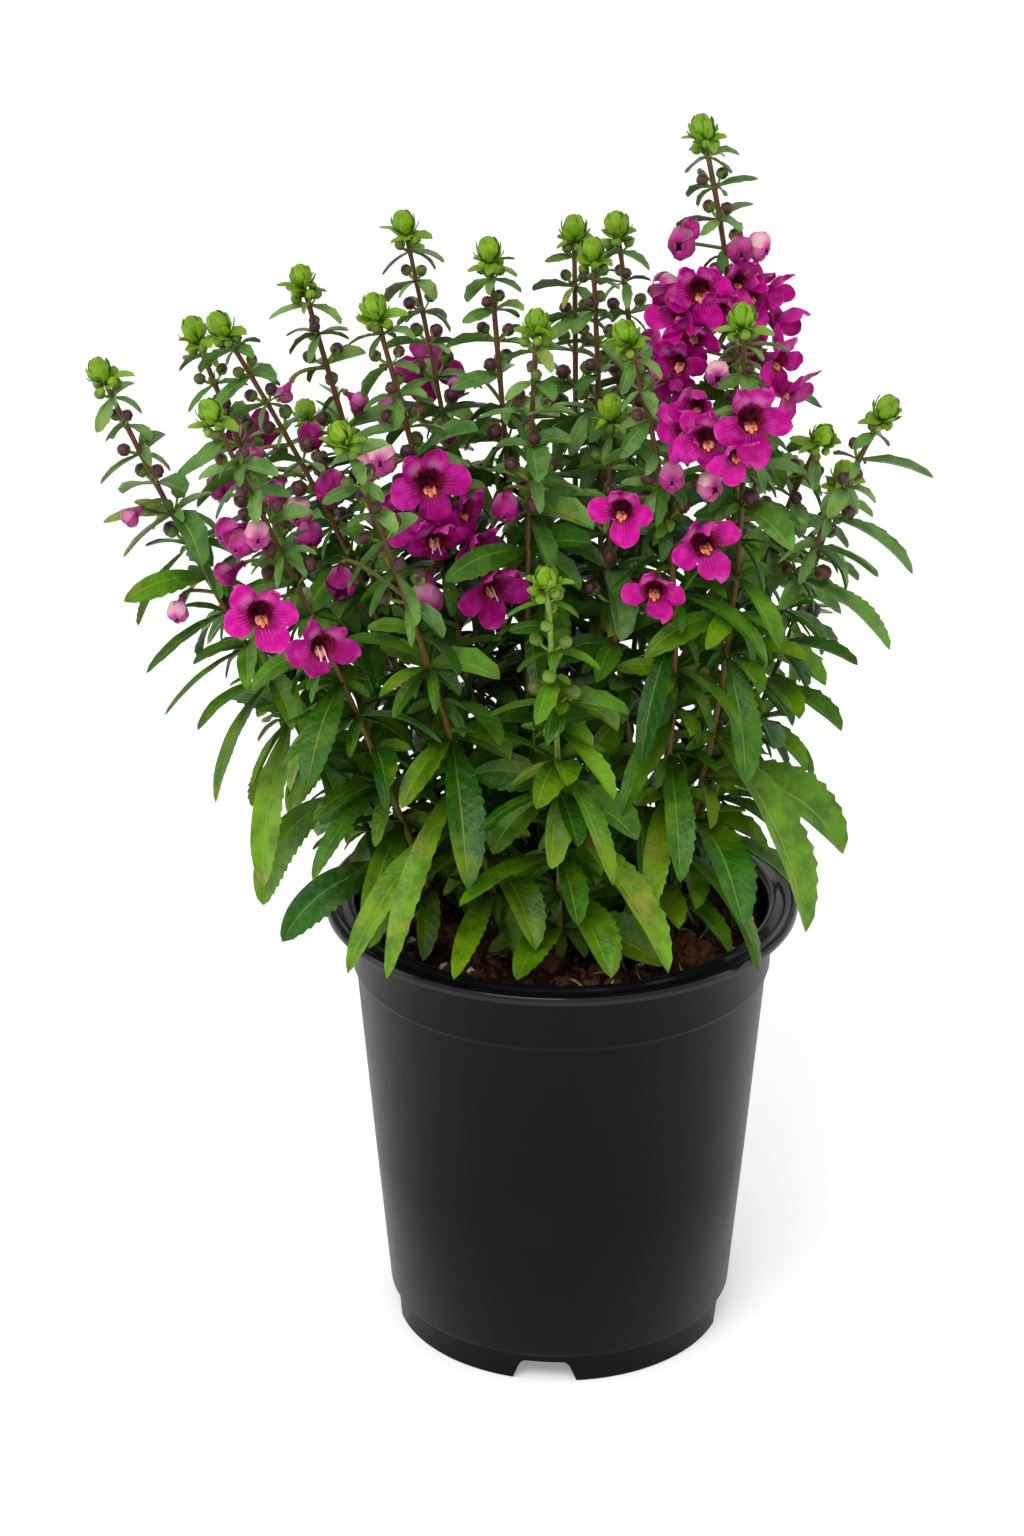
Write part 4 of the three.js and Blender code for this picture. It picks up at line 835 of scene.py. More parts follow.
BLOOM_GROUP = 100
blooms = [stand_floret(group, stem_named[name], row) for group, name, *rows in BLOOMS for row in rows]
for bloom in blooms:
    room.take(*bloom_marks(bloom), False, BLOOM_GROUP + bloom.group)
print("florets", len(blooms))

# %% [markdown]
# A stalk bends from the nearest point of the stem to the back of its floret. Every node has one, and a second
# floret gets its own only where there is room for it.

# %% Grow the flower stalks
STALK_RADIUS = 0.9
STALK_RISE = 4
STALK_SPOTS = range(4, 39)


def stalk_of(bloom):
    stem = bloom.stem
    back = bloom_point(bloom, 0, 0, -TUBE_DEPTH * bloom.width) + (0, 0, -STALK_RISE)
    spots = [i / MEASURE_STEPS for i in STALK_SPOTS]
    foot = min((curve_point(stem, t) for t in spots), key=lambda point: dot(point - back, point - back))
    tip = bloom_point(bloom, 0, 0, -TUBE_DEPTH * bloom.width - GAP)
    pull = tip - bloom.face * (0.3 * length(tip - foot))
    return SimpleNamespace(group=stem.group, stem=stem, foot=foot, tip=tip, pull=pull)


stalks = []
stalked = set()
for bloom in blooms:
    stalk = stalk_of(bloom)
    count = max(3, math.ceil(length(stalk.tip - stalk.foot) / 2))
    at = [curve_point(stalk, i / count) for i in range(1, count)]
    if bloom.group not in stalked or room.is_clear(at, STALK_RADIUS, False, stalk.group, stalk.stem.seed):
        room.take(at, STALK_RADIUS, False, stalk.group)
        stalks.append(stalk)
        stalked.add(bloom.group)
print("stalks", len(stalks))

# %% [markdown]
# A leaf's midrib is an arc in an upright plane: it leaves the stem at an angle above the level and bends
# down evenly. The blade folds up a little on both sides of it. The outline widens and narrows by two powers.

# %% The shape of a leaf
BRACT_LENGTH = (13, 27)
LEAF_LENGTH = (29, 50)
WIDTH_SHARE = (0.5, 0.31)
BRACT_BEND, LEAF_BEND = 34, (48, 74)
BRACT_LIFT, LEAF_LIFT = 10, 14
LEAF_OUTLINE = (0.95, 0.7)
BRACT_OUTLINE = (0.75, 0.65)
FOLD_LIFT = 0.28
MARK_STEP = 2.6
ROOT_SHARE = 0.22


def width_at(outline, t):
    widen, narrow = outline
    peak = (widen**widen) * (narrow**narrow) / (widen + narrow) ** (widen + narrow)
    return t**widen * (1 - t) ** narrow / peak


def leaf_frame(leaf, t):
    """The midrib, the way across and the way up of the blade, at each t from 0 to 1."""
    angle = leaf.rise - leaf.bend * t
    outward = leaf.length * (math.sin(leaf.rise) - np.sin(angle)) / leaf.bend
    upward = leaf.length * (np.cos(angle) - math.cos(leaf.rise)) / leaf.bend
    c, s = math.cos(leaf.heading), math.sin(leaf.heading)
    level = np.array((-s, c, 0.0))
    above = np.stack((-np.sin(angle) * c, -np.sin(angle) * s, np.cos(angle)), -1)
    cr, sr = math.cos(leaf.roll), math.sin(leaf.roll)
    rib = leaf.root + np.stack((outward * c, outward * s, upward), -1)
    return rib, level * cr + above * sr, above * cr - level * sr


def leaf_marks(leaf):
    """Points spread over the blade, and which of them are near its root."""
    outline = BRACT_OUTLINE if leaf.length < LEAF_LENGTH[0] else LEAF_OUTLINE
    rows = max(3, math.ceil(leaf.length / MARK_STEP))
    ts, us = [], []
    for i in range(1, rows + 1):
        columns = math.ceil((leaf.width / 2) * width_at(outline, i / rows) / MARK_STEP)
        for j in range(-columns, columns + 1):
            ts.append(i / rows)
            us.append(j / columns if columns else 0.0)
    t, u = np.array(ts), np.array(us)[:, None]
    rib, side, normal = leaf_frame(leaf, t)
    half = ((leaf.width / 2) * width_at(outline, t))[:, None]
    return rib + (side * (u * half) + normal * (np.abs(u) * half * FOLD_LIFT)), t < ROOT_SHARE


# %% [markdown]
# Leaves grow in opposite pairs from the tips down, each pair a quarter turned from the one above.

# %% Places for pairs of leaves
PAIR_SPACING = (10, 17)
FIRST_PAIR = 15
BUD_ZONE = 78
OLD_ZONE = 160
LOWEST_LEAF = 163
CROTCH = 0.08
TURN_PER_STEM = 37
BLADE_MARK = 1.05

for stem in stems:
    stem.pairs = []
    below = FIRST_PAIR
    at = place_below_tip(stem, below)
    while at > (CROTCH if stem.parent else 0) and curve_point(stem, at)[2] > LOWEST_LEAF:
        pair = SimpleNamespace(stem=stem, level=len(stem.pairs), below=below, at=at)
        pair.root, pair.heading = curve_point(stem, at), curve_heading(stem, at)
        pair.leaves, pair.buds = [None, None], [None, None]
        stem.pairs.append(pair)
        below += mix(*PAIR_SPACING, min(1, below / OLD_ZONE))
        at = place_below_tip(stem, below)


def pair_facing(pair, side, turn_by):
    """The way that one side of a pair faces, square to the stem."""
    across = unit(np.cross(pair.heading, (0, 1, 0)))
    beside = np.cross(pair.heading, across)
    angle = math.radians(1) * (pair.level * 90 + side * 180 + pair.stem.seed * TURN_PER_STEM + turn_by)
    return across * math.cos(angle) + beside * math.sin(angle)


def is_free(leaf, marks, near_root, size):
    return room.is_clear(marks, size, near_root, leaf.stem.group, leaf.stem.seed)


def grow(pair, side, leaf):
    """Keeps the leaf if its side of the pair is empty and its marks are clear."""
    marks, near_root = leaf_marks(leaf)
    if pair.leaves[side] or not clear_of_pot(marks) or not is_free(leaf, marks, near_root, BLADE_MARK):
        return False
    room.take(marks, BLADE_MARK, near_root, leaf.stem.group)
    pair.leaves[side] = leaf
    return True


print("pairs", sum(len(stem.pairs) for stem in stems))

# %% [markdown]
# Some leaves show so well that each is listed one by one: stem, how far up it, tip, width and bend. Each
# takes the side of a pair that is nearest to where it grows and faces its tip best.

# %% Leaves listed one by one
SHOWN_LEAVES = (
    ("s1", 0.48, (-104, -24, 178), 15, 40), ("s1", 0.55, (-120, -20, 208), 10, 40),
    ("s1", 0.64, (-137, -16, 239), 8, 30), ("s1", 0.71, (-142, -22, 257), 11, 30),
    ("s1", 0.74, (-147, 2, 265), 8, 25), ("s4", 0.47, (-94, -58, 238), 9, 50),
    ("s4", 0.4, (-58, -72, 236), 11, 60), ("s4", 0.33, (-84, -62, 198), 10, 60),
    ("s8", 0.3, (-72, -76, 170), 15, 60), ("s8", 0.36, (-58, -92, 176), 11, 50),
    ("s8", 0.44, (-31, -85, 206), 15, 50), ("s20", 0.56, (-28, -82, 225), 9, 40),
    ("s20", 0.45, (-34, -86, 200), 11, 40), ("s8", 0.2, (-36, -84, 172), 11, 40),
    ("s20", 0.24, (-15, -76, 168), 15, 50), ("s20", 0.3, (17, -74, 168), 16, 60),
    ("s20", 0.4, (36, -78, 172), 16, 50), ("s20", 0.5, (17, -86, 208), 9, 40),
    ("s14", 0.3, (30, -64, 188), 11, 50), ("s14", 0.4, (40, -66, 200), 12, 50),
    ("s14", 0.24, (40, -52, 176), 13, 40), ("s16", 0.4, (84, -46, 172), 21, 50),
    ("s20", 0.65, (17, -84, 238), 10, 40), ("s14", 0.46, (20, -62, 222), 11, 50),
    ("s16", 0.5, (62, -46, 228), 13, 50), ("s17", 0.45, (84, -22, 222), 12, 50),
    ("s14", 0.52, (26, -62, 240), 10, 60), ("s20", 0.6, (-38, -64, 254), 10, 40),
    ("s8", 0.55, (-60, -74, 270), 9, 40), ("s17", 0.88, (124, -14, 326), 9, 30),
    ("s17", 0.79, (118, -18, 293), 11, 45), ("s17", 0.72, (111, -22, 267), 12, 45),
    ("s17", 0.65, (100, -26, 263), 11, 40), ("s17", 0.6, (80, -38, 248), 13, 50),
    ("s16", 0.6, (72, -46, 276), 10, 45),
)
TURN_COST = 30
MOST_TRIES = 6


def leaf_between(pair, tip, width, bend):
    chord = tip - pair.root
    turn = math.radians(bend)
    return SimpleNamespace(
        stem=pair.stem,
        below=pair.below,
        root=pair.root,
        heading=math.atan2(chord[1], chord[0]),
        rise=math.asin(chord[2] / length(chord)) + turn / 2,
        bend=turn,
        length=length(chord) * (turn / 2) / math.sin(turn / 2),
        width=width,
        roll=0.0,
        by_hand=True,
    )


placed = 0
for name, at, tip, width, bend in SHOWN_LEAVES:
    wanted = curve_point(stem_named[name], at)
    choices = []
    for pair, side in product(stem_named[name].pairs, (0, 1)):
        miss = 1 - dot(unit(tip - pair.root), pair_facing(pair, side, 0))
        choices.append((length(pair.root - wanted) + TURN_COST * miss, pair, side))
    choices.sort(key=lambda choice: choice[0])
    best = choices[:MOST_TRIES]
    placed += any(grow(pair, side, leaf_between(pair, tip, width, bend)) for _, pair, side in best)
print("leaves placed by hand", placed)

# %% [markdown]
# The rest of the leaves. One that would meet another is tried turned, raised, lowered or smaller, and is
# left out if none is clear. Towards the tips the leaves become bracts, with a bud above each.

# %% Grow the other leaves and the buds
# Turned by, raised by, and size
TRIES = (
    (0, 0, 1), (16, 0, 1), (-16, 0, 1), (0, 14, 0.95), (0, -18, 0.95), (28, 6, 0.9),
    (-28, 6, 0.9), (0, 30, 0.85), (0, -34, 0.85), (20, 20, 0.7), (-20, -20, 0.7),
)
WANDER = 26
ROLL = 100
SIZE_SPREAD = (0.84, 1.14)
OUTER_BONUS = 0.14
BUD_RADIUS = (1.8, 2.9)
BUD_REACH = (5, 10)
BUD_RISE = 0.9


def pair_leaf(pair, side, turn_by, raise_by, scale):
    root, level, seed = pair.root, pair.level, pair.stem.seed
    bract = pair.below < BUD_ZONE
    young = (pair.below - FIRST_PAIR) / (BUD_ZONE - FIRST_PAIR)
    old = min(1, (pair.below - BUD_ZONE) / (OLD_ZONE + FIRST_PAIR - BUD_ZONE))
    wander = (chance(seed, level, side) - 0.5) * WANDER
    lift = math.radians(BRACT_LIFT if bract else LEAF_LIFT)
    way = unit(pair_facing(pair, side, wander + turn_by) * math.cos(lift) + pair.heading * math.sin(lift))
    outer = dot(unit((way[0], way[1], 0.001)), unit((root[0], root[1], 0.001)))
    vary = mix(*SIZE_SPREAD, chance(level, seed, side + 7)) * (1 + OUTER_BONUS * outer) * scale
    full = (mix(*BRACT_LENGTH, young) if bract else mix(*LEAF_LENGTH, old)) * vary
    return SimpleNamespace(
        stem=pair.stem,
        below=pair.below,
        root=root,
        heading=math.atan2(way[1], way[0]),
        rise=math.asin(way[2]) + math.radians(raise_by),
        bend=math.radians(BRACT_BEND if bract else mix(*LEAF_BEND, old)),
        length=full,
        width=full * mix(*WIDTH_SHARE, min(1, (pair.below - FIRST_PAIR) / OLD_ZONE * 1.4)),
        roll=math.radians((chance(level, side, seed) - 0.5) * ROLL),
        by_hand=False,
    )


def pair_bud(pair, side):
    """A bud stands above the root of its bract."""
    age = (pair.below - FIRST_PAIR) / (BUD_ZONE - FIRST_PAIR)
    way = unit(pair_facing(pair, side, 0) + pair.heading * BUD_RISE)
    at = pair.root + way * mix(*BUD_REACH, age)
    radius = mix(*BUD_RADIUS, age)
    return SimpleNamespace(stem=pair.stem, root=pair.root, way=way, at=at, radius=radius, age=age)


pairs = sorted((pair for stem in stems for pair in stem.pairs), key=lambda pair: (pair.level, pair.stem.seed))
for pair, side in product(pairs, (0, 1)):
    if pair.below < BUD_ZONE:
        bud = pair_bud(pair, side)
        if is_free(bud, [bud.at], True, bud.radius):
            room.take([bud.at], bud.radius, True, bud.stem.group)
            pair.buds[side] = bud
    any(grow(pair, side, pair_leaf(pair, side, *change)) for change in TRIES)
leaves = [leaf for pair in pairs for leaf in pair.leaves if leaf]
buds = [bud for pair in pairs for bud in pair.buds if bud]
print("leaves", len(leaves), "buds", len(buds), "marks", room.count)

# %% [markdown]
# An open floret keeps a free view. The space before it, towards the photo's camera if it faces there, is
# marked in a room of its own, and no leaf may stand in it that the solid leaves out.

# %% Keep the open florets in view
# The solid holds every large leaf, and of the smaller ones those of every second or third pair
SOLID_LARGE, SOLID_SMALL = 46, 36
TUFT_MARK = 0.35
TOWARDS_PHOTO = unit((0, -1, 0.32))
FACES_PHOTO = 0.5
OPEN_ENOUGH = 0.42
VIEW_REACH = (0.3, 0.6, 0.9, 1.2, 1.5, 1.8, 2.1)
VIEW_MARK = 4.5
VIEW_WIDTH = 0.32
VIEW_TURNS = [k * math.tau / 6 for k in range(6)]
VIEW_SPOTS = [(0, 0)] + [(VIEW_WIDTH * math.cos(a), VIEW_WIDTH * math.sin(a)) for a in VIEW_TURNS]
views = TakenRoom(most=8000)


def take_view(bloom):
    way = TOWARDS_PHOTO if dot(bloom.face, TOWARDS_PHOTO) > FACES_PHOTO else bloom.face
    spots = [bloom_point(bloom, x * bloom.width, y * bloom.width, 0) for x, y in VIEW_SPOTS]
    for away in VIEW_REACH:
        at = [spot + way * (away * bloom.width) for spot in spots]
        views.take(at, VIEW_MARK, False, BLOOM_GROUP + bloom.group)


def hides_bloom(leaf, marks, near_root):
    return not views.is_clear(marks, TUFT_MARK, near_root, leaf.stem.group, leaf.stem.seed)


def is_in_solid(leaf, level):
    return leaf.by_hand or leaf.length > SOLID_LARGE or level % (2 if leaf.length > SOLID_SMALL else 3) == 0


for bloom in blooms:
    if bloom.open > OPEN_ENOUGH:
        take_view(bloom)
leaves = [
    leaf
    for pair in pairs
    for leaf in pair.leaves
    if leaf and (is_in_solid(leaf, pair.level) or not hides_bloom(leaf, *leaf_marks(leaf)))
]
print("leaves left when the open florets are kept in view", len(leaves))

# %% [markdown]
# Between the pairs, the real plant carries tufts of smaller leaves in the axils of its older leaves, and they
# make it dense. The solid leaves them out. Here they grow where the taken room still allows it, inside the
# box of the CAD model. Each leaf of a tuft has its own way, and the largest of its sizes that fits is kept.

# %% Grow the tufts
TUFT_LENGTH = (16, 26, 44)
TUFT_WIDTH = 0.38
TUFT_SIZES = (1.1, 0.78, 0.55)
# Turned and raised by, for the leaves of a tuft low on the stem and for those among the bracts
TUFT_WAYS = (
    (50, 26), (-50, 30), (8, 48), (78, 4), (-78, 8), (-24, 58), (24, -6), (-64, -16),
    (64, 44), (100, 24), (-100, 30), (36, 66), (-36, 12), (0, 20), (0, -24), (88, -20),
)
BRACT_WAYS = ((30, 14), (-34, -10), (70, 30), (-74, 4))
BRACT_ZONE = 0.7
BRACT_SIZE = 0.5
BRACT_WIDTH = 0.48
TURN_OUTWARDS = 46
BOX_MARGIN = 1.5
box_low = (np.array(cad_low) - AXIS) / MM - BOX_MARGIN
box_high = (np.array(cad_high) - AXIS) / MM + BOX_MARGIN


def inside_box(points):
    return bool(np.all(points >= box_low) and np.all(points <= box_high))


def tuft_leaf(pair, side, turn_by, raise_by, number, size):
    """A leaf of a tuft. Its upper side is rolled towards the outside of the plant, where the light is."""
    root, level, seed = pair.root, pair.level, pair.stem.seed
    luck = chance(seed * 7 + number, level, side + 11)
    way = unit(pair_facing(pair, side, turn_by + (luck - 0.5) * 24))
    outwards = unit((root[0], root[1], 0.001))
    aside = unit((-way[1], way[0], 0.001))
    low = clamped((pair.below - BUD_ZONE) / (OLD_ZONE - BUD_ZONE))
    full = mix(TUFT_LENGTH[0], mix(*TUFT_LENGTH[1:], low), luck) * size
    roll = (chance(number, level, seed + 5) - 0.5) * 40 - TURN_OUTWARDS * dot(aside, outwards)
    return SimpleNamespace(
        stem=pair.stem,
        below=pair.below,
        root=root,
        heading=math.atan2(way[1], way[0]),
        rise=math.radians(raise_by + (luck - 0.5) * 20),
        bend=math.radians(mix(30, 80, chance(number, side, seed + level))),
        length=full,
        width=full * TUFT_WIDTH * mix(0.85, 1.25, luck),
        roll=math.radians(roll),
    )


def tuft_fits(leaf):
    """Takes the room of the leaf if it is free. A few marks are tried first, because that is quick."""
    marks, near_root = leaf_marks(leaf)
    if not clear_of_pot(marks) or not inside_box(marks) or hides_bloom(leaf, marks, near_root):
        return False
    if not all(is_free(leaf, marks[::n], near_root[::n], TUFT_MARK) for n in (6, 1)):
        return False
    room.take(marks, TUFT_MARK, near_root, leaf.stem.group)
    return True


tufts = []
for pair, side in product(pairs, (0, 1)):
    high = pair.below < BUD_ZONE * BRACT_ZONE
    for number, change in enumerate(BRACT_WAYS if high else TUFT_WAYS):
        for size in TUFT_SIZES:
            leaf = tuft_leaf(pair, side, *change, number, size * (BRACT_SIZE if high else 1))
            if high:
                leaf.width = leaf.length * BRACT_WIDTH
            if tuft_fits(leaf):
                tufts.append(leaf)
                break
print("tuft leaves", len(tufts))

# %% [markdown]
# ## Foliage
# Hundreds of leaves, buds and petals share a few shapes. Each shape is modelled once, flat or upright and at
# unit size, by extruding a filled circle ring by ring. Every copy is then bent to its own place with a
# formula, because Blender's own bend tool needs a window, and the copies of one stem become one piece.

# %% A shape made by extrusion
def take_mesh(piece):
    """Reads the modelled object's points and faces, and removes the object."""
    mesh = piece.data
    co = np.zeros(len(mesh.vertices) * 3)
    corners = np.zeros(len(mesh.loops), int)
    totals = np.zeros(len(mesh.polygons), int)
    mesh.vertices.foreach_get("co", co)
    mesh.loops.foreach_get("vertex_index", corners)
    mesh.polygons.foreach_get("loop_total", totals)
    bpy.data.objects.remove(piece)
    co = co.reshape(-1, 3)
    return SimpleNamespace(co=co, corners=corners, totals=totals, place=np.zeros(co.shape))


def extruded_shape(name, rings, place):
    """rings is a table of points, ring by ring. place holds three values for each point, for the finishes."""
    rings = np.asarray(rings, float)
    count, sides = rings.shape[:2]
    deselect()
    bpy.ops.mesh.primitive_circle_add(vertices=sides, radius=1, fill_type="NGON", location=(0, 0, 0))
    bpy.ops.object.mode_set(mode="EDIT")
    bpy.ops.mesh.select_all(action="SELECT")
    for _ in range(count - 1):
        bpy.ops.mesh.extrude_region_move(TRANSFORM_OT_translate={"value": (0, 0, 1)})
    bpy.ops.mesh.select_all(action="SELECT")
    bpy.ops.mesh.normals_make_consistent(inside=False)
    bpy.ops.object.mode_set(mode="OBJECT")
    shape = take_mesh(bpy.context.object)
    x, y, z = shape.co.T
    ring = np.rint(z).astype(int)
    corner = np.rint(np.arctan2(y, x) / (2 * math.pi / sides)).astype(int) % sides
    shape.co, shape.place = rings[ring, corner], np.asarray(place, float)[ring, corner]
    print("shape", name, "faces", len(shape.totals))
    return shape


class Bunch:
    """Copies of modelled shapes, each bent to its place, gathered into the mesh of one piece."""

    def __init__(self):
        self.parts = []
        self.count = 0

    def add(self, shape, points, tone=(0, 0, 0), finish=0):
        tone = np.broadcast_to(np.asarray(tone, float), points.shape)
        slots = np.full(len(shape.totals), finish)
        self.parts.append((points, shape.corners + self.count, shape.totals, shape.place, tone, slots))
        self.count += len(points)

    def build(self, name, finishes, smooth=60):
        points, corners, totals, place, tone, slots = (np.concatenate(rows) for rows in zip(*self.parts))
        mesh = bpy.data.meshes.new(name)
        mesh.vertices.add(self.count)
        mesh.vertices.foreach_set("co", to_frame(points).ravel())
        mesh.loops.add(int(totals.sum()))
        mesh.loops.foreach_set("vertex_index", corners.astype(np.int32))
        mesh.polygons.add(len(totals))
        mesh.polygons.foreach_set("loop_start", (np.cumsum(totals) - totals).astype(np.int32))
        mesh.polygons.foreach_set("material_index", slots.astype(np.int32))
        mesh.update(calc_edges=True)
        for label, rows in (("place", place), ("tone", tone)):
            values = mesh.attributes.new(label, "FLOAT_VECTOR", "POINT")
            values.data.foreach_set("vector", rows.astype(np.float32).ravel())
        for finish in finishes:
            mesh.materials.append(finish.material)
        piece = bpy.data.objects.new(name, mesh)
        scene.collection.objects.link(piece)
        only(piece)
        bpy.ops.object.shade_smooth_by_angle(angle=math.radians(smooth))
        return piece


def dress(piece, nodes):
    """Every piece rides on the plant's one body, and the CAD nodes it stands for are hidden."""
    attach(piece, "root")
    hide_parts(*nodes)


def make_pieces(kind, finishes, numbers, fill, node):
    """One piece of a kind for each CAD node: fill puts the copies of shapes into its bunch."""
    for number in numbers:
        bunch = Bunch()
        fill(bunch, number)
        piece = bunch.build(f"{kind}_{number:02d}", finishes)
        dress(piece, [f"{node}_{number:02d}"])
        print(piece.name, "faces", face_count(piece))


# %% [markdown]
# A leaf blade is a flat lens in section: an upper side with a groove along the midrib, an underside with a
# keel, and a sharp edge. Small teeth point forward along the edge. There are three blades, one for large
# leaves, a lighter one for the middle sizes, and a rounder one for the bracts near the tips.

# %% Model the three blades
FIRST_TOOTH, LAST_TOOTH = 0.17, 0.96
TOOTH_OUT, TOOTH_IN = 1.06, 0.94
TOOTH_SLANT = 0.72
PETIOLE = 0.05
LARGE_LEAF = 40
RIPPLE = 0.035


def model_blade(name, outline, upper, under, teeth):
    """upper and under list (place across, height): from the left edge to the right, and back below."""
    rows = [(0.0, 1, 1), (0.07, 1, 1)]
    step = (LAST_TOOTH - FIRST_TOOTH) / teeth
    for i in range(teeth):
        start = FIRST_TOOTH + i * step
        rows += [(start + TOOTH_SLANT * step, TOOTH_OUT, 1), (start + step, TOOTH_IN, 1)]
    rows.append((1.0, 1, 0.3))
    section = [(u, height, 1) for u, height in upper] + [(u, height, -1) for u, height in under]
    rings, place = [], []
    for t, share, thick in rows:
        half = max(width_at(outline, t) / 2, PETIOLE * (1 - t))
        thickness = thick * min(1, half * 3 + 0.3)
        ring = [(u * half * (share if abs(u) == 1 else 1), t, height * thickness) for u, height, _ in section]
        rings.append(ring)
        place.append([(u, t, 0 if abs(u) == 1 else side) for u, _, side in section])
    return extruded_shape(name, rings, place)


LARGE_BLADE = model_blade(
    "large_blade",
    LEAF_OUTLINE,
    [(-1, 0), (-0.68, 0.022), (-0.34, 0.024), (0, -0.012), (0.34, 0.024), (0.68, 0.022), (1, 0)],
    [(0.4, -0.02), (0, -0.062), (-0.4, -0.02)],
    teeth=11,
)
MIDDLE_BLADE = model_blade(
    "middle_blade",
    LEAF_OUTLINE,
    [(-1, 0), (-0.5, 0.024), (0, -0.012), (0.5, 0.024), (1, 0)],
    [(0, -0.062)],
    teeth=6,
)
BRACT_BLADE = model_blade(
    "bract_blade",
    BRACT_OUTLINE,
    [(-1, 0), (-0.5, 0.02), (0, -0.012), (0.5, 0.02), (1, 0)],
    [(0, -0.062)],
    teeth=3,
)


def bent_blade(leaf, shape, seed):
    """A copy of a blade on the leaf's own arc, with a slight ripple along its edges."""
    x, t, z = shape.co.T
    rib, side, normal = leaf_frame(leaf, t)
    x = x * leaf.width
    waves = 2 + 2 * chance(seed, 3, 5)
    lifted = np.sin(t * math.tau * waves + math.tau * chance(seed, 1, 2)) * RIPPLE * np.abs(x)
    rise = np.abs(x) * FOLD_LIFT + z * leaf.width + lifted
    return rib + side * x[:, None] + normal * rise[:, None]


# %% [markdown]
# The green of a leaf is never one green. Bracts are a greyer, cooler green, old leaves near the pot turn
# yellow-green, some with olive blotches. The midrib is pale, side veins leave it at an angle, and the blade
# swells a little between them. The underside is paler and duller. Painted shade darkens the root of an older
# leaf, and every leaf the further inside the plant it lies. Each leaf carries its own tone.

# %% Leaf finish
SIDE_VEINS = 9.0

VEINS, (place,), made = new_group("leaf_veins", {"Place": None}, "Rib", "Net")
u, t, _ = parts_of(place)
away = maths("ABSOLUTE", u)
rib_width = scaled(t, -0.05, 0.1)
plug(made["Rib"], maths("SUBTRACT", 1.0, ramp(away, rib_width * 0.35, rib_width)))
crest = maths("POWER", stripes(scaled(away, -0.16, t), SIDE_VEINS * math.tau), 6.0)
plug(made["Net"], crest * ramp(away, 1.0, 0.55))

LEAF = Finish("leaf", Specular_IOR_Level=0.24)
age, hue, shade_depth = parts_of(LEAF.vector("tone"))
place = LEAF.vector("place")
u, t, above = parts_of(place)
rib, net = LEAF.group(VEINS, {"Place": place})
below = ramp(above * -1.0, 0.05, 0.4)
young_green = blend(hue, (74, 118, 44), (120, 158, 80))
middle_green = blend(hue, (20, 76, 0), (92, 144, 16))
LEAF.paint(blend(ramp(age, 0.25, 0.5), young_green, middle_green))
LEAF.coat(ramp(age, 0.55, 1.0), blend(hue, (30, 92, 0), (108, 152, 8)))
LEAF.coat(LEAF.patches(130.0, 0.4, 0.66) * 0.5, (14, 60, 2))
LEAF.coat(LEAF.patches(60.0, 0.5, 0.7) * ramp(age, 0.4, 0.9) * 0.45, (134, 150, 12))
LEAF.coat(LEAF.patches(70.0, 0.56, 0.66) * ramp(hue, 0.76, 0.92) * 0.75, (140, 130, 48))
LEAF.coat(net * 0.07, (120, 158, 44))
LEAF.coat(rib * 0.42, (136, 170, 56))
LEAF.coat(below * 0.35, (88, 122, 48))
# Painted shade: the root half of an older leaf is darkened towards the stem
LEAF.coat(ramp(t, 0.55, 0.0) * ramp(age, 0.2, 0.5) * 0.55, (10, 40, 0))
# Painted shade: points far inside the plant and low in it are darkened
LEAF.coat(shade_depth * 0.85, (4, 28, 0))
plug(LEAF.shader["Roughness"], scaled(below, 0.25, 0.34))
relief = net * -0.3 + rib * -0.8
LEAF.bump(LEAF.grain(1500.0, 0.5) + LEAF.grain(380.0, 2.6) + relief, 0.5, 0.0005)

# %% [markdown]
# One piece holds all the leaves of a node: its own pairs and the tufts between them. A leaf's tone is its
# age, its hue, and how far inside the plant each of its points lies, which sets its painted shade.

# %% Make the leaf pieces
# Middle, reach and height of the painted shade inside the plant
PLANT_MIDDLE = -17
SHADE_DEPTH_RADIUS = 70
SHADE_DEPTH_TOP, SHADE_DEPTH_FADE = 340, 90
OLDEST = 150
left_out = []


def leaf_tone_and_shade(leaf, points, seed):
    age = min(1, max(0, leaf.below - FIRST_PAIR) / OLDEST)
    if leaf.stem.name == YOUNG_STEM:
        age = 0.62 + 0.38 * age
    away = np.hypot(points[:, 0] - PLANT_MIDDLE, points[:, 1])
    # Painted shade: how far inside the plant, and how low, each point lies
    shade_depth = np.clip(1.15 - away / SHADE_DEPTH_RADIUS, 0, 1) * np.clip((SHADE_DEPTH_TOP - points[:, 2]) / SHADE_DEPTH_FADE, 0, 1)
    hue = chance(seed, 17, leaf.stem.seed)
    return np.stack((np.full(len(points), age), np.full(len(points), hue), shade_depth), -1)


def fill_leaves(bunch, group):
    for number, leaf in enumerate(leaf for leaf in leaves + tufts if leaf.stem.group == group):
        seed = group * 1000 + number
        shape = LARGE_BLADE if leaf.length > LARGE_LEAF else MIDDLE_BLADE
        if leaf.length < LEAF_LENGTH[0]:
            shape = BRACT_BLADE
        points = bent_blade(leaf, shape, seed)
        if inside_box(points):
            bunch.add(shape, points, leaf_tone_and_shade(leaf, points, seed))
        else:
            left_out.append(leaf)


make_pieces("leaves", [LEAF], groups, fill_leaves, "leafy_stem")
print("leaves outside the box, left out", len(left_out))

# %% [markdown]
# ## Stems
# A stem is a thin round rod that tapers and swells a little where a pair of leaves leaves it. A curve with
# a bevel would give an even tube. The straight rod modelled here is laid on the stem's curve instead, with
# three of its rings at each pair, so that the swelling sits in the right place.

# %% Model a straight rod and lay it on a curve
ROD_SIDES, ROD_RINGS = 8, 74
THIN_SIDES, THIN_RINGS = 6, 9
NODE_SWELL = 0.2
NODE_HALF = 1.6
STEM_SHARE = 0.7


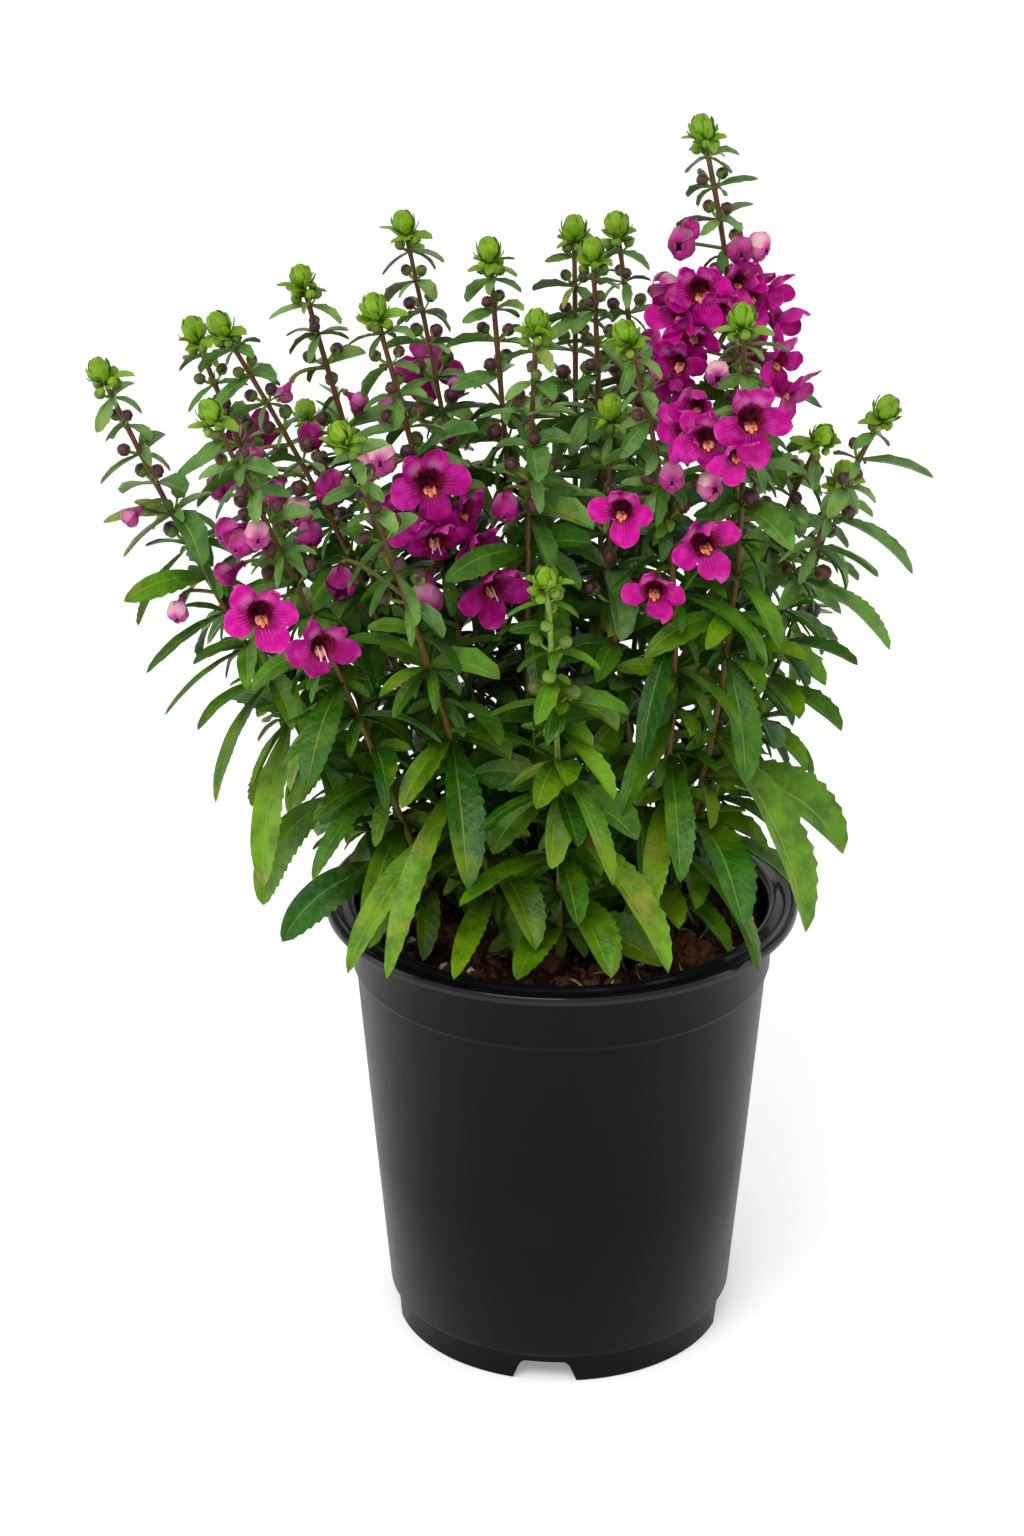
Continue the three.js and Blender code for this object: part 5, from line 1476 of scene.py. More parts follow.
def round_shape(name, rows, sides):
    """rows list radius, height and a third value for the finishes."""
    angles = np.arange(sides) * math.tau / sides
    rings = [[(r * math.cos(a), r * math.sin(a), z) for a in angles] for r, z, _ in rows]
    return extruded_shape(name, rings, [[(a / math.tau, z, third) for a in angles] for _, z, third in rows])


STEM_ROD = round_shape("stem_rod", [(1, i / (ROD_RINGS - 1), 0) for i in range(ROD_RINGS)], ROD_SIDES)
THIN_ROD = round_shape("thin_rod", [(1, i / (THIN_RINGS - 1), 0) for i in range(THIN_RINGS)], THIN_SIDES)
THIN_PLACES = np.linspace(0, 1, THIN_RINGS)


def laid_rod(shape, curve, places, radii):
    """A copy of a rod on a curve, its rings at these places along it and with these radii."""
    ring = np.rint(shape.co[:, 2] * (len(places) - 1)).astype(int)
    centres = np.array([curve_point(curve, t) for t in places])
    headings = np.array([curve_heading(curve, t) for t in places])
    aside = np.cross(headings[0], (0.3, 0.9, 0.1))
    sides = []
    for heading in headings:
        aside = aside - heading * (aside @ heading)
        aside = aside / np.linalg.norm(aside)
        sides.append(aside)
    sides = np.array(sides)
    others = np.cross(headings, sides)
    radii = np.asarray(radii, float)[ring][:, None]
    return centres[ring] + (sides[ring] * shape.co[:, 0:1] + others[ring] * shape.co[:, 1:2]) * radii


def thin_rod(foot, pull, tip, radii):
    curve = SimpleNamespace(foot=np.array(foot), pull=np.array(pull), tip=np.array(tip))
    return laid_rod(THIN_ROD, curve, THIN_PLACES, radii)


def stem_places(stem):
    """Places of the rings, three at each pair and the rest spread evenly, and the radius at each."""
    span = length(stem.tip - stem.foot)
    near = NODE_HALF / span
    spots = [t for pair in stem.pairs for t in (pair.at - near, pair.at, pair.at + near)]
    places = sorted([*np.linspace(0, 1 - TIP_LENGTH * 0.5 / span, ROD_RINGS - len(spots)), *spots])
    radii = []
    for t in places:
        swell = sum(math.exp(-(((t - pair.at) * span / NODE_HALF) ** 2)) for pair in stem.pairs)
        radii.append(mix(*stem.radius, t) * (STEM_SHARE + NODE_SWELL * min(1, swell)))
    return places, radii


# %% [markdown]
# Stems are olive and a little woody near the soil, dark red-brown higher up, and green close to the tip.
# The front stem is younger and stays lime green.

# %% Stem finish
BARK = Finish("stem_bark", Specular_IOR_Level=0.35, Roughness=0.5)
up, lime, _ = parts_of(BARK.vector("tone"))
BARK.paint(blend(ramp(up, 0.0, 0.45), (96, 96, 34), (108, 82, 32)))
BARK.coat(ramp(up, 0.5, 0.85), (92, 52, 26))
BARK.coat(ramp(up, 0.93, 1.0), (92, 112, 40))
BARK.coat(lime, blend(ramp(up, 0.0, 0.8), (128, 120, 60), (128, 158, 58)))
BARK.coat(BARK.patches(260.0, 0.4, 0.7) * 0.4, (100, 78, 38))
BARK.bump(BARK.grain(2200.0), 0.35, 0.0003)


# %% Make the stem pieces
def fill_stems(bunch, group):
    for stem in (s for s in stems if s.group == group):
        places, radii = stem_places(stem)
        ring = np.rint(STEM_ROD.co[:, 2] * (ROD_RINGS - 1)).astype(int)
        lime = 1.0 if stem.name == YOUNG_STEM else 0.0
        tone = np.stack((np.array(places)[ring], np.full(len(ring), lime), np.full(len(ring), 0.5)), -1)
        bunch.add(STEM_ROD, laid_rod(STEM_ROD, stem, places, radii), tone)
    radii = np.interp(THIN_PLACES, (0, 0.8, 1), (0.75, 0.7, 0.95))
    for stalk in (s for s in stalks if s.group == group):
        bunch.add(THIN_ROD, laid_rod(THIN_ROD, stalk, THIN_PLACES, radii), (0.7, 0.35, 0.5))


make_pieces("stems", [BARK], groups, fill_stems, "leafy_stem")

# %% [markdown]
# ## Buds
# In the axil of each bract hangs a round bud, dark plum-brown, or still green near the tip. It sits in a
# small green calyx, five pointed sepals, on a curved stalk of its own.

# %% Model a bud and its calyx
BUD_SIDES = 8
BUD_PROFILE = (
    (0.22, -0.98), (0.72, -0.72), (0.98, -0.2), (0.99, 0.25), (0.78, 0.66), (0.42, 0.93), (0.08, 1.06),
)
SEPALS = 5
# Radius and height of each ring of the calyx, at the points of the sepals and in the gaps between them
CALYX_ROWS = (((0.25, -1.15), (0.25, -1.15)), ((0.85, -0.82), (0.85, -0.82)), ((1.14, 0.25), (1.04, -0.45)))
BUD = round_shape("bud", [(r, z, r) for r, z in BUD_PROFILE], BUD_SIDES)


def model_calyx(name):
    sides = 2 * SEPALS
    angles = [i * math.tau / sides for i in range(sides)]
    rings, place = [], []
    for row in CALYX_ROWS:
        ends = [row[i % 2] for i in range(sides)]
        rings.append([(r * math.cos(a), r * math.sin(a), z) for a, (r, z) in zip(angles, ends)])
        place.append([(i / sides, z, 1) for i, (_, z) in enumerate(ends)])
    rings.append([(0.5 * x, 0.5 * y, min(z, -0.5)) for x, y, z in rings[-1]])
    place.append(place[-1])
    return extruded_shape(name, rings, place)


CALYX = model_calyx("calyx")


def turned_copy(shape, at, way, size):
    """A copy of an upright shape at a place, pointing a given way."""
    aside = np.cross((0.1, 0.2, 1.0), way)
    if np.linalg.norm(aside) < 0.05:
        aside = np.cross((1.0, 0.0, 0.0), way)
    aside = aside / np.linalg.norm(aside)
    other = np.cross(way, aside)
    sized = shape.co * np.asarray(size, float)
    return at + aside * sized[:, 0:1] + other * sized[:, 1:2] + way * sized[:, 2:3]


# %% Bud finish
BUD_SKIN = Finish("bud_skin", Specular_IOR_Level=0.4, Roughness=0.46)
ripe, luck, _ = parts_of(BUD_SKIN.vector("tone"))
green_bud = blend(luck, (104, 138, 30), (82, 106, 28))
BUD_SKIN.paint(blend(ripe, green_bud, blend(luck, (58, 24, 32), (84, 42, 40))))
BUD_SKIN.coat(BUD_SKIN.patches(420.0, 0.45, 0.7) * 0.4, (54, 30, 30))
BUD_SKIN.bump(BUD_SKIN.grain(1800.0), 0.4, 0.0003)

SEPAL = Finish("sepal", Specular_IOR_Level=0.26, Roughness=0.48)
old, luck, _ = parts_of(SEPAL.vector("tone"))
around, height, _ = parts_of(SEPAL.vector("place"))
lines = stripes(around, 19.0)
lime_green = blend(luck, (124, 164, 16), (94, 138, 16))
SEPAL.paint(blend(old, lime_green, blend(luck, (92, 128, 56), (112, 112, 52))))
# Painted shade: darker green towards the lower end of each scale, calyx, core and stalk, as under overlapping
# scales
SEPAL.coat(ramp(height, 0.5, -0.1) * 0.6, (44, 82, 10))
SEPAL.coat(lines * 0.24, (156, 190, 50))
SEPAL.coat(SEPAL.patches(300.0, 0.4, 0.7) * 0.25, (72, 110, 24))
SEPAL.bump(scaled(lines, -0.6, SEPAL.grain(1800.0)), 0.4, 0.0003)


# %% Make the bud pieces
def bud_stalk(bud):
    """A bud's stalk leaves the stem outwards and reaches the bud from behind."""
    back = bud.at - bud.way * (bud.radius * 1.05)
    pull = bud.root * (1 - 0.55) + back * 0.55 + unit((bud.way[0], bud.way[1], 0.02)) * 1.6
    return thin_rod(bud.root, pull, back, [0.62] * 8 + [0.8])


def fill_buds(bunch, group):
    for number, bud in enumerate(b for b in buds if b.stem.group == group):
        luck = chance(number, group, 41)
        is_ripe = bud.age > 0.04 + 0.16 * luck and bud.stem.name != YOUNG_STEM
        ripe = 1.0 if is_ripe else 0.25 * luck
        bunch.add(BUD, turned_copy(BUD, bud.at, bud.way, bud.radius), (ripe, luck, 0), 0)
        calyx = turned_copy(CALYX, bud.at, bud.way, bud.radius * 0.98)
        bunch.add(CALYX, calyx, (0.4 + 0.4 * ripe, luck, 0), 1)
        bunch.add(THIN_ROD, bud_stalk(bud), (0.6, luck, 0), 1)


make_pieces("buds", [BUD_SKIN, SEPAL], groups, fill_buds, "leafy_stem")

# %% [markdown]
# ## Tips
# Every stem ends in a small lime-green globe of closed bud scales that overlap like the leaves of a
# sprout. A core carries four whorls of cupped scales. Six bracts and four green buds stand round its foot.

# %% Model the parts of a tip
GLOBE = 4.15
GLOBE_SPREAD = (0.88, 1.04)
CORE_PROFILE = ((0.3, -1.0), (0.8, -0.7), (0.97, -0.1), (0.9, 0.45), (0.6, 0.85), (0.2, 1.08))
CORE = round_shape("tip_core", [(r, z, r) for r, z in CORE_PROFILE], 10)
SCALE_OUTLINE = (0.62, 0.55)
SCALE_UPPER = [(-1, 0), (-0.5, 0.05), (0, 0.06), (0.5, 0.05), (1, 0)]
SCALE_BLADE = model_blade("scale_blade", SCALE_OUTLINE, SCALE_UPPER, [(0, -0.06)], teeth=2)
# Whorls of scales from the inside out: how many, from and to which height in degrees, lift, flare, spread
WHORLS = (
    (3, -60, 86, 0.96, 0.04, 54),
    (4, -76, 66, 1.04, 0.06, 42),
    (4, -84, 30, 1.12, 0.16, 36),
    (5, -86, -4, 1.18, 0.36, 24),
)
TIP_BRACTS, TIP_BUDS = 6, 4


def tip_globe(stem):
    """Where the globe stands, the way it points, two ways across, its size, and the stem's luck."""
    way = curve_heading(stem, 1)
    aside = np.cross(way, (0.2, 1.0, 0.1))
    aside = aside / np.linalg.norm(aside)
    luck = chance(stem.seed, 5, 9)
    size = GLOBE * mix(*GLOBE_SPREAD, luck)
    middle = stem.tip - way * size * 1.14
    return SimpleNamespace(at=middle, way=way, aside=aside, other=np.cross(way, aside), size=size, luck=luck)


def wrapped_scale(globe, turn, lowest, highest, lift, flare, spread):
    """A scale laid on a globe: it runs up a meridian, its sides wrap round, and its end may stand off."""
    x, t, z = SCALE_BLADE.co.T
    rise = np.radians(mix(lowest, highest, t))
    round_by = turn + x * 2 * math.radians(spread) / np.maximum(np.cos(rise * 0.8), 0.35)
    radius = globe.size * 0.9 * (lift + z * 1.1 + flare * t * t)
    out = np.cos(rise) * radius
    return (
        globe.at
        + globe.aside * (out * np.cos(round_by))[:, None]
        + globe.other * (out * np.sin(round_by))[:, None]
        + globe.way * (np.sin(rise) * radius * 1.12)[:, None]
    )


def tip_bract(globe, out, k, seed):
    way = globe.way
    return SimpleNamespace(
        root=globe.at - way * ((0.9, 1.25)[k % 2] * globe.size + 1.2),
        heading=math.atan2(out[1] + way[1] * 0.6, out[0] + way[0] * 0.6),
        rise=math.radians(mix(4, 40, chance(seed, k, 3))),
        bend=math.radians(30),
        length=mix(6.5, 11, chance(k, seed, 2)),
        width=5.4,
        roll=math.radians((chance(k, 7, seed) - 0.5) * 90),
    )


# %% Make the tip pieces
def out_of(globe, turn):
    return globe.aside * math.cos(turn) + globe.other * math.sin(turn)


def fill_tips(bunch, group):
    for stem in (s for s in stems if s.group == group):
        globe, seed = tip_globe(stem), stem.seed
        size, luck = globe.size, globe.luck
        core_size = (size * 0.86, size * 0.86, size)
        bunch.add(CORE, turned_copy(CORE, globe.at, globe.way, core_size), (0.0, luck, 0))
        for whorl, (count, *measures) in enumerate(WHORLS):
            for k in range(count):
                turn = k * math.tau / count + whorl * 0.9 + luck * 6 + 0.3 * chance(whorl, k, seed)
                points = wrapped_scale(globe, turn, *measures)
                bunch.add(SCALE_BLADE, points, (0.0, chance(seed, whorl, k), 0))
        for k in range(TIP_BRACTS):
            out = out_of(globe, k * math.tau / TIP_BRACTS + luck * 4)
            points = bent_blade(tip_bract(globe, out, k, seed), BRACT_BLADE, k)
            if inside_box(points):
                bunch.add(BRACT_BLADE, points, (0.2, chance(k, seed, 8), 0))
        for k in range(TIP_BUDS):
            out = out_of(globe, k * math.pi / 2 + luck * 9)
            at = globe.at - globe.way * (size * 1.05 + 1.2 + 1.4 * (k % 2)) + out * 3.3
            points = turned_copy(BUD, at, unit(out + globe.way * 1.2), mix(1.4, 2.0, chance(k, 6, seed)))
            bunch.add(BUD, points, (0.1, chance(k, 4, seed), 0))


make_pieces("tips", [SEPAL], groups, fill_tips, "leafy_stem")

# %% [markdown]
# ## Blooms
# A floret is a short tube with five separate rounded lobes round its mouth, two above and three below.
# One tube and one lobe are modelled, the lobe flat. Every copy of the lobe is then bent by how far its
# floret has opened: in an open one the lobes lie back, in a closed one they curl over each other to a pouch.

# %% Model a tube and two lobes
TUBE_OUTSIDE = ((0.03, -0.44), (0.06, -0.42), (0.08, -0.34), (0.115, -0.22), (0.165, -0.1), (0.21, -0.01))
THROAT_INSIDE = ((0.2, 0.0), (0.18, -0.05), (0.155, -0.12), (0.115, -0.19), (0.04, -0.27))
TUBE_SIDES = 14
# What the finish reads: -1 outside the tube, and 2 in the throat
OUTSIDE, INSIDE = -1, 2
LOBE_ROWS = (0, 0.1, 0.22, 0.36, 0.5, 0.62, 0.74, 0.84, 0.92, 0.975, 1)
SMALL_LOBE_ROWS = (0, 0.2, 0.42, 0.62, 0.82, 0.95, 1)
LOBE_THICKNESS = 0.009
LOBE_BASE, LOBE_HALF = 0.2, 0.285
WIDEST = 0.5


def lobe_half(t):
    """Half the width of a lobe: narrow at its base, widest beyond its middle, and round at its end."""
    if t < WIDEST:
        return mix(LOBE_BASE, LOBE_HALF, math.sin(math.pi / 2 * t / WIDEST))
    return LOBE_HALF * math.sqrt(max(0.01, 1 - ((t - WIDEST) / (1 - WIDEST)) ** 2))


def model_lobe(name, rows, upper, under):
    section = [(u, 0 if abs(u) == 1 else side) for side, row in ((1, upper), (-1, under)) for u in row]
    rings = [[(u * lobe_half(t), t, side * LOBE_THICKNESS) for u, side in section] for t in rows]
    return extruded_shape(name, rings, [[(u, t, side) for u, side in section] for t in rows])


TUBE_PARTS = ((OUTSIDE, TUBE_OUTSIDE), (INSIDE, THROAT_INSIDE))
tube_rows = [(r, z, side) for side, part in TUBE_PARTS for r, z in part]
TUBE = round_shape("floret_tube", tube_rows, TUBE_SIDES)
TUBE.place[:, 0] = np.rint(TUBE.place[:, 0] * TUBE_SIDES)
LOBE = model_lobe("lobe", LOBE_ROWS, (-1, -0.75, -0.4, 0, 0.4, 0.75, 1), (0.6, 0, -0.6))
SMALL_LOBE = model_lobe("small_lobe", SMALL_LOBE_ROWS, (-1, -0.5, 0, 0.5, 1), (0,))

# %% [markdown]
# Along its length a lobe follows an arc that is added up in small steps. Across, it wraps round the floret's
# own axis, so that the lobes of a pouch close up. Each lobe has its own tilt, cup and ripple.

# %% Bend a lobe
CLOSED_ARCS = ((72, -116), (72, -116), (72, -98), (72, -84), (72, -98))
OPEN_ARCS = ((36, 76), (36, 76), (50, 92), (58, 98), (50, 92))
REFLEX = (-16, -16, 22, 26, 22)
LOBE_WIDEN = (0.94, 0.94, 1.1, 1.04, 1.1)
POUCH_LENGTH = (0.95, 0.95, 0.8, 0.72, 0.8)
POUCH_WIDEN = 1.24
POUCH_TALL = 1.2
MOST_WRAP = 0.95
MOUTH = 0.19
EVEN_ANGLES = (54, 126, 198, 270, 342)
ARC_STEPS = np.linspace(0, 1, 41)


def spread_of(bloom):
    """0 for a pouch, 1 for a wide open floret."""
    k = clamped((bloom.open - 0.34) / 0.5)
    return k * k * (3 - 2 * k)


def added_up(steps):
    return np.concatenate(([0], np.cumsum(steps)))


def placed_in_bloom(bloom, x, y, z):
    offset = bloom.right * x[:, None] + bloom.up * y[:, None] + bloom.face * z[:, None]
    return bloom.at + offset * bloom.width


def bent_lobe(bloom, shape, number, seed):
    x, t, z = shape.co.T
    u = shape.place[:, 0]
    spread = spread_of(bloom)
    luck = [chance(seed, number + 1, k) - 0.5 for k in range(5)]
    mood = chance(seed, 9, 4) - 0.5
    angle, _, reach = LOBES[number]
    angle = math.radians(mix(EVEN_ANGLES[number], angle, spread) + 20 * luck[0] * spread)
    mouth = mix(THROAT_RADIUS, MOUTH, spread)
    long = mix(POUCH_LENGTH[number], (reach - mouth) * 1.22 * (1 + 0.24 * luck[1]), spread)
    wide = mix(POUCH_WIDEN, LOBE_WIDEN[number] * reach / 0.5 * (1 + 0.24 * luck[2]), spread)
    shut_way = mix(*CLOSED_ARCS[number], ARC_STEPS)
    open_way = mix(*OPEN_ARCS[number], np.sin(np.minimum(ARC_STEPS / 0.4, 1) * math.pi / 2))
    open_way = open_way + (REFLEX[number] + 80 * luck[3] + 50 * mood) * ARC_STEPS
    way = np.radians(mix(shut_way, open_way, spread))
    halfway = (way[1:] + way[:-1]) / 2
    step = long * (ARC_STEPS[1] - ARC_STEPS[0])
    tables = (mouth + added_up(np.sin(halfway) * step), added_up(np.cos(halfway) * step), way)
    out, forward, way = (np.interp(t, ARC_STEPS, table) for table in tables)
    cup = mix(0.02, 0.03 + 0.22 * luck[4], spread)
    ripple = 0.02 * np.sin(math.tau * (2.6 * t + luck[0])) * np.abs(u) * spread
    lift = z + mix(0.022, 0.055, spread) * u * t + cup * u * u * t + ripple
    wrap = MOST_WRAP * np.tanh(x * wide / (np.maximum(out, 0.1) * MOST_WRAP))
    out = np.maximum(out - lift * np.cos(way), 0.012)
    forward = forward + lift * np.sin(way)
    tall = mix(POUCH_TALL, 1, spread)
    return placed_in_bloom(bloom, out * np.cos(angle + wrap), out * np.sin(angle + wrap) * tall, forward)


# %% [markdown]
# Petals are velvety magenta, darker and more purple in some florets, with fine veins and a lighter edge. The
# upper lobes have a pale mauve streak at their root, and maroon rays run out of the throat of an open floret.
# A pouch is duller, with a pale band across its lobes and dark ends. The throat is maroon, and painted shade
# darkens it further down the tube.

# %% Petal finish
PETAL = Finish("petal", Specular_IOR_Level=0.1, Roughness=0.42)
across, share, front = parts_of(PETAL.vector("place"))
spread, luck, upper = parts_of(PETAL.vector("tone"))
blots = PETAL.patches(700.0, 0.42, 0.58)
ridges = stripes(across, 34.0)
dull = ramp(luck, 0.2, 0.9)
band = ramp(share, 0.12, 0.4) * ramp(share, 0.86, 0.6)
PETAL.paint(blend(dull, (128, 8, 84), (186, 66, 134)))
PETAL.coat(band * scaled(upper, 0.7, 0.3) * dull * 0.8, (238, 206, 196))
PETAL.coat(ramp(share, 0.82, 0.96) * 0.8, (78, 4, 50))
pouch = PETAL.colour
PETAL.paint(blend(ramp(spread, 0.5, 0.1), blend(luck, (204, 0, 144), (148, 0, 104)), pouch))
PETAL.coat(ridges * ramp(share, 1.0, 0.3) * 0.4, (112, 2, 66))
# Painted highlights: soft patches of lighter violet over the petals
PETAL.coat(PETAL.patches(260.0, 0.4, 0.7) * 0.4, (222, 62, 184))
PETAL.coat(ramp(share, 0.88, 1.0) * 0.3, (232, 112, 192))
PETAL.coat(ramp(share, 0.7, 0.2) * ramp(maths("ABSOLUTE", across), 0.75, 0.1) * upper * 0.4, (224, 150, 204))
PETAL.coat(ramp(share, 0.52, 0.1) * (ridges * ramp(spread, 0.1, 0.5)) * 0.7, (98, 2, 48))
PETAL.coat(ramp(share, 0.26, 0.02) * ramp(spread, 0.1, 0.4) * scaled(blots, 0.7, 0.3), (86, 2, 34))
PETAL.coat(ramp(front, 0.0, -0.6) * ramp(spread, 0.05, 0.4) * 0.5, (150, 34, 112))
# The throat's own maroon, with painted shade that darkens it further down the tube
throat = blend(ramp(share, -0.02, -0.2), (128, 8, 56), (56, 2, 18))
PETAL.coat(ramp(front, 1.2, 1.8), blend(blots * 0.5, throat, (158, 44, 82)))
PETAL.bump(scaled(ridges, 0.5, PETAL.grain(1400.0, 0.7)), 0.35, 0.0003)

FLECK = Finish("throat_fleck", Specular_IOR_Level=0.3, Roughness=0.5)
height = parts_of(FLECK.vector("place"))[1]
FLECK.paint(blend(ramp(height, -0.5, 0.8), (150, 36, 20), (222, 120, 34)))
FLECK.coat(FLECK.patches(900.0, 0.45, 0.6) * 0.45, (236, 204, 190))
FLECK.coat(parts_of(FLECK.vector("tone"))[0], (240, 206, 222))
FLECK.bump(FLECK.grain(1800.0), 0.4, 0.0003)

# %% [markdown]
# On the lower side of the throat lies an orange swelling of three small lumps, and in a few florets two pale
# threads hang from above. The lumps are copies of the bud. A green calyx holds the tube from behind.

# %% Make the bloom pieces
SMALLEST_LARGE = 15
# The lumps of the swelling: place aside and above, thickness and length, as shares of the width
SWELLING = ((0.0, -0.13, 0.05, 0.11), (-0.055, -0.11, 0.036, 0.08), (0.06, -0.115, 0.034, 0.085))
SWELLING_DEPTH = 0.06
THREADS = (-0.05, 0.03)
THREAD_LUCK = 0.78
CALYX_SHARE = (0.12, 0.12, 0.11)
CALYX_DEPTH = 0.36


def fill_throat(bunch, bloom):
    down = unit(bloom.face * 0.8 + bloom.up * -0.6)
    for aside, above, thick, long in SWELLING:
        at = bloom_point(bloom, aside * bloom.width, above * bloom.width, -SWELLING_DEPTH * bloom.width)
        size = np.array((thick, thick * 0.7, long)) * bloom.width
        bunch.add(BUD, turned_copy(BUD, at, down, size), (0, 0, 0), 1)


def fill_threads(bunch, bloom, seed):
    for k, aside in enumerate(THREADS):
        hang = -0.12 - 0.14 * chance(seed, 6, k)
        stray = aside + 0.12 * (chance(seed, 8, k) - 0.5)
        ends = np.array(((aside, -0.04, -0.1), (aside, -0.06, 0.04), (stray, hang, 0.1))) * bloom.width
        points = thin_rod(*(bloom_point(bloom, *end) for end in ends), [0.16] * 7 + [0.2, 0.32])
        bunch.add(THIN_ROD, points, (1, 0, 0), 1)


def fill_blooms(bunch, group):
    for number, bloom in enumerate(b for b in blooms if b.group == group):
        seed = group * 10 + number
        lobe = LOBE if bloom.width > SMALLEST_LARGE else SMALL_LOBE
        spread, luck = spread_of(bloom), chance(seed, 5, 1)
        for k in range(len(LOBES)):
            bunch.add(lobe, bent_lobe(bloom, lobe, k, seed), (spread, luck, k < 2), 0)
        bunch.add(TUBE, placed_in_bloom(bloom, *TUBE.co.T), (spread, luck, 0), 0)
        if spread > 0.2:
            fill_throat(bunch, bloom)
            if luck > THREAD_LUCK and lobe is LOBE:
                fill_threads(bunch, bloom, seed)
        back = bloom_point(bloom, 0, 0, -CALYX_DEPTH * bloom.width)
        points = turned_copy(CALYX, back, bloom.face, np.array(CALYX_SHARE) * bloom.width)
        bunch.add(CALYX, points, (0.5, chance(seed, 3, 3), 0), 2)


bloom_groups = sorted({bloom.group for bloom in blooms})
make_pieces("petals", [PETAL, FLECK, SEPAL], bloom_groups, fill_blooms, "bloom")

# %% [markdown]
# ## Soil
# The pot is filled with potting soil to just under its rim. The body of soil is turned like the pot, with
# many rings on top, and the top is then moved up and down by noise into lumps.

# %% Soil finishes
SOIL = Finish("soil", Roughness=0.92, Specular_IOR_Level=0.15)
SOIL.paint(blend(SOIL.patches(90.0, 0.35, 0.65), (36, 22, 14), (72, 44, 27)))
SOIL.coat(SOIL.patches(480.0, 0.4, 0.62) * 0.55, (28, 17, 13))
SOIL.bump(SOIL.grain(420.0) + SOIL.grain(1300.0, 0.5), 0.9, 0.0016)

CLOD = Finish("soil_clod", Roughness=0.9, Specular_IOR_Level=0.2)
CLOD.paint(blend(parts_of(CLOD.vector("tone"))[0], (50, 31, 20), (116, 74, 46)))
CLOD.coat(CLOD.patches(520.0, 0.4, 0.62) * 0.6, (34, 20, 15))
CLOD.bump(CLOD.grain(700.0), 0.9, 0.001)

PERLITE = Finish("perlite", Roughness=0.8, Specular_IOR_Level=0.3)
PERLITE.paint(blend(PERLITE.patches(600.0, 0.45, 0.7), (226, 220, 206), (170, 150, 128)))
PERLITE.bump(PERLITE.grain(1500.0), 0.8, 0.0006)

FIBRE = Finish("fibre", Roughness=0.8, Specular_IOR_Level=0.2)
FIBRE.paint(blend(FIBRE.patches(300.0, 0.4, 0.7), (150, 146, 118), (96, 72, 52)))
FIBRE.bump(FIBRE.grain(1600.0), 0.6, 0.0004)

# %% Make the body of soil
SOIL_SIDES = 96
SOIL_EDGE = 70.6
SOIL_MIDDLE = 2
SOIL_RINGS = 30
LOW_EDGE = INNER_WALL - GAP
SOIL_FLOOR = FLOOR_TOP + GAP
SOIL_PROFILE = [(8, SOIL_FLOOR), (LOW_EDGE - 2.6, SOIL_FLOOR), (LOW_EDGE, SOIL_FLOOR + 3.5)]
SOIL_PROFILE += [(SOIL_EDGE - 0.2, SOIL_TOP - 12), (SOIL_EDGE, SOIL_TOP - 6)]
SOIL_PROFILE += [(mix(SOIL_EDGE, SOIL_MIDDLE, (i + 1) / SOIL_RINGS), SOIL_TOP) for i in range(SOIL_RINGS)]


def soil_height(x, y):
    """The lumps of the solid, and smaller ones on top of them."""
    lump = math.sin(x * 0.19 + 1) * math.cos(y * 0.17) + 0.7 * math.sin(x * 0.11 - y * 0.23 + 2)
    crumbs = noise.fractal((x * 0.11, y * 0.11, 3.0), 0.8, 2.0, 4)
    return SOIL_TOP + SOIL_LUMP * lump + 2.4 * crumbs


soil = turn_profile("potting_soil", SOIL_PROFILE, SOIL_SIDES)
for vertex in soil.data.vertices:
    x, y, z = ((np.array(vertex.co) - AXIS) / MM).tolist()
    if z > SOIL_TOP - 1:
        vertex.co.z = soil_height(x, y) * MM
finish_piece(soil, SOIL, 60)
dress(soil, ["soil"])
print("soil faces", face_count(soil))

# %% [markdown]
# Crumbs, clods, white perlite and grey fibres lie on the soil. A crumb is a small ball of twenty faces that
# is knocked out of round, four different ones, each copied many times. The larger clods are finer balls.

# %% Model crumbs and clods
def model_lump(subdivisions, rough, seed):
    deselect()
    bpy.ops.mesh.primitive_ico_sphere_add(subdivisions=subdivisions, radius=1, location=(0, 0, 0))
    lump = take_mesh(bpy.context.object)
    swell = [noise.fractal((x * 1.3 + seed, y * 1.3, z * 1.3), 0.7, 2.1, 3) for x, y, z in lump.co]
    lump.co = lump.co * (1 + rough * np.array(swell))[:, None]
    return lump


CRUMBS = [model_lump(1, 0.7, 3.7 * i) for i in range(4)]
CLODS = [model_lump(3, 0.6, 9.1 * i + 2) for i in range(4)]


def thrown(shape, at, size, seed):
    """A copy turned at random, three times squashed differently."""
    a, b = math.tau * chance(seed, 1, 3), math.tau * chance(seed, 2, 5)
    stretch = np.array([mix(0.7, 1.25, chance(seed, k, 9)) for k in range(3)]) * size
    x, y, z = (shape.co * stretch).T
    x, y = x * math.cos(a) - y * math.sin(a), x * math.sin(a) + y * math.cos(a)
    y, z = y * math.cos(b) - z * math.sin(b), y * math.sin(b) + z * math.cos(b)
    return np.array(at) + np.stack((x, y, z), -1)


def spot(seed, most):
    """An even random place on the soil, inside a radius."""
    r = most * math.sqrt(chance(seed, 7, 11))
    a = math.tau * chance(seed, 13, 17)
    return r * math.cos(a), r * math.sin(a)


print("lumps", len(CRUMBS) + len(CLODS))


# %% Scatter them
FIBRE_COUNT, FIBRE_AREA = 34, 62
FIBRE_LENGTH, FIBRE_RADIUS = (5, 15), (0.3, 0.9)
FIBRE_TAPER = np.array((0.3, 0.8, 1, 1.1, 1, 1, 0.9, 0.7, 0.3))


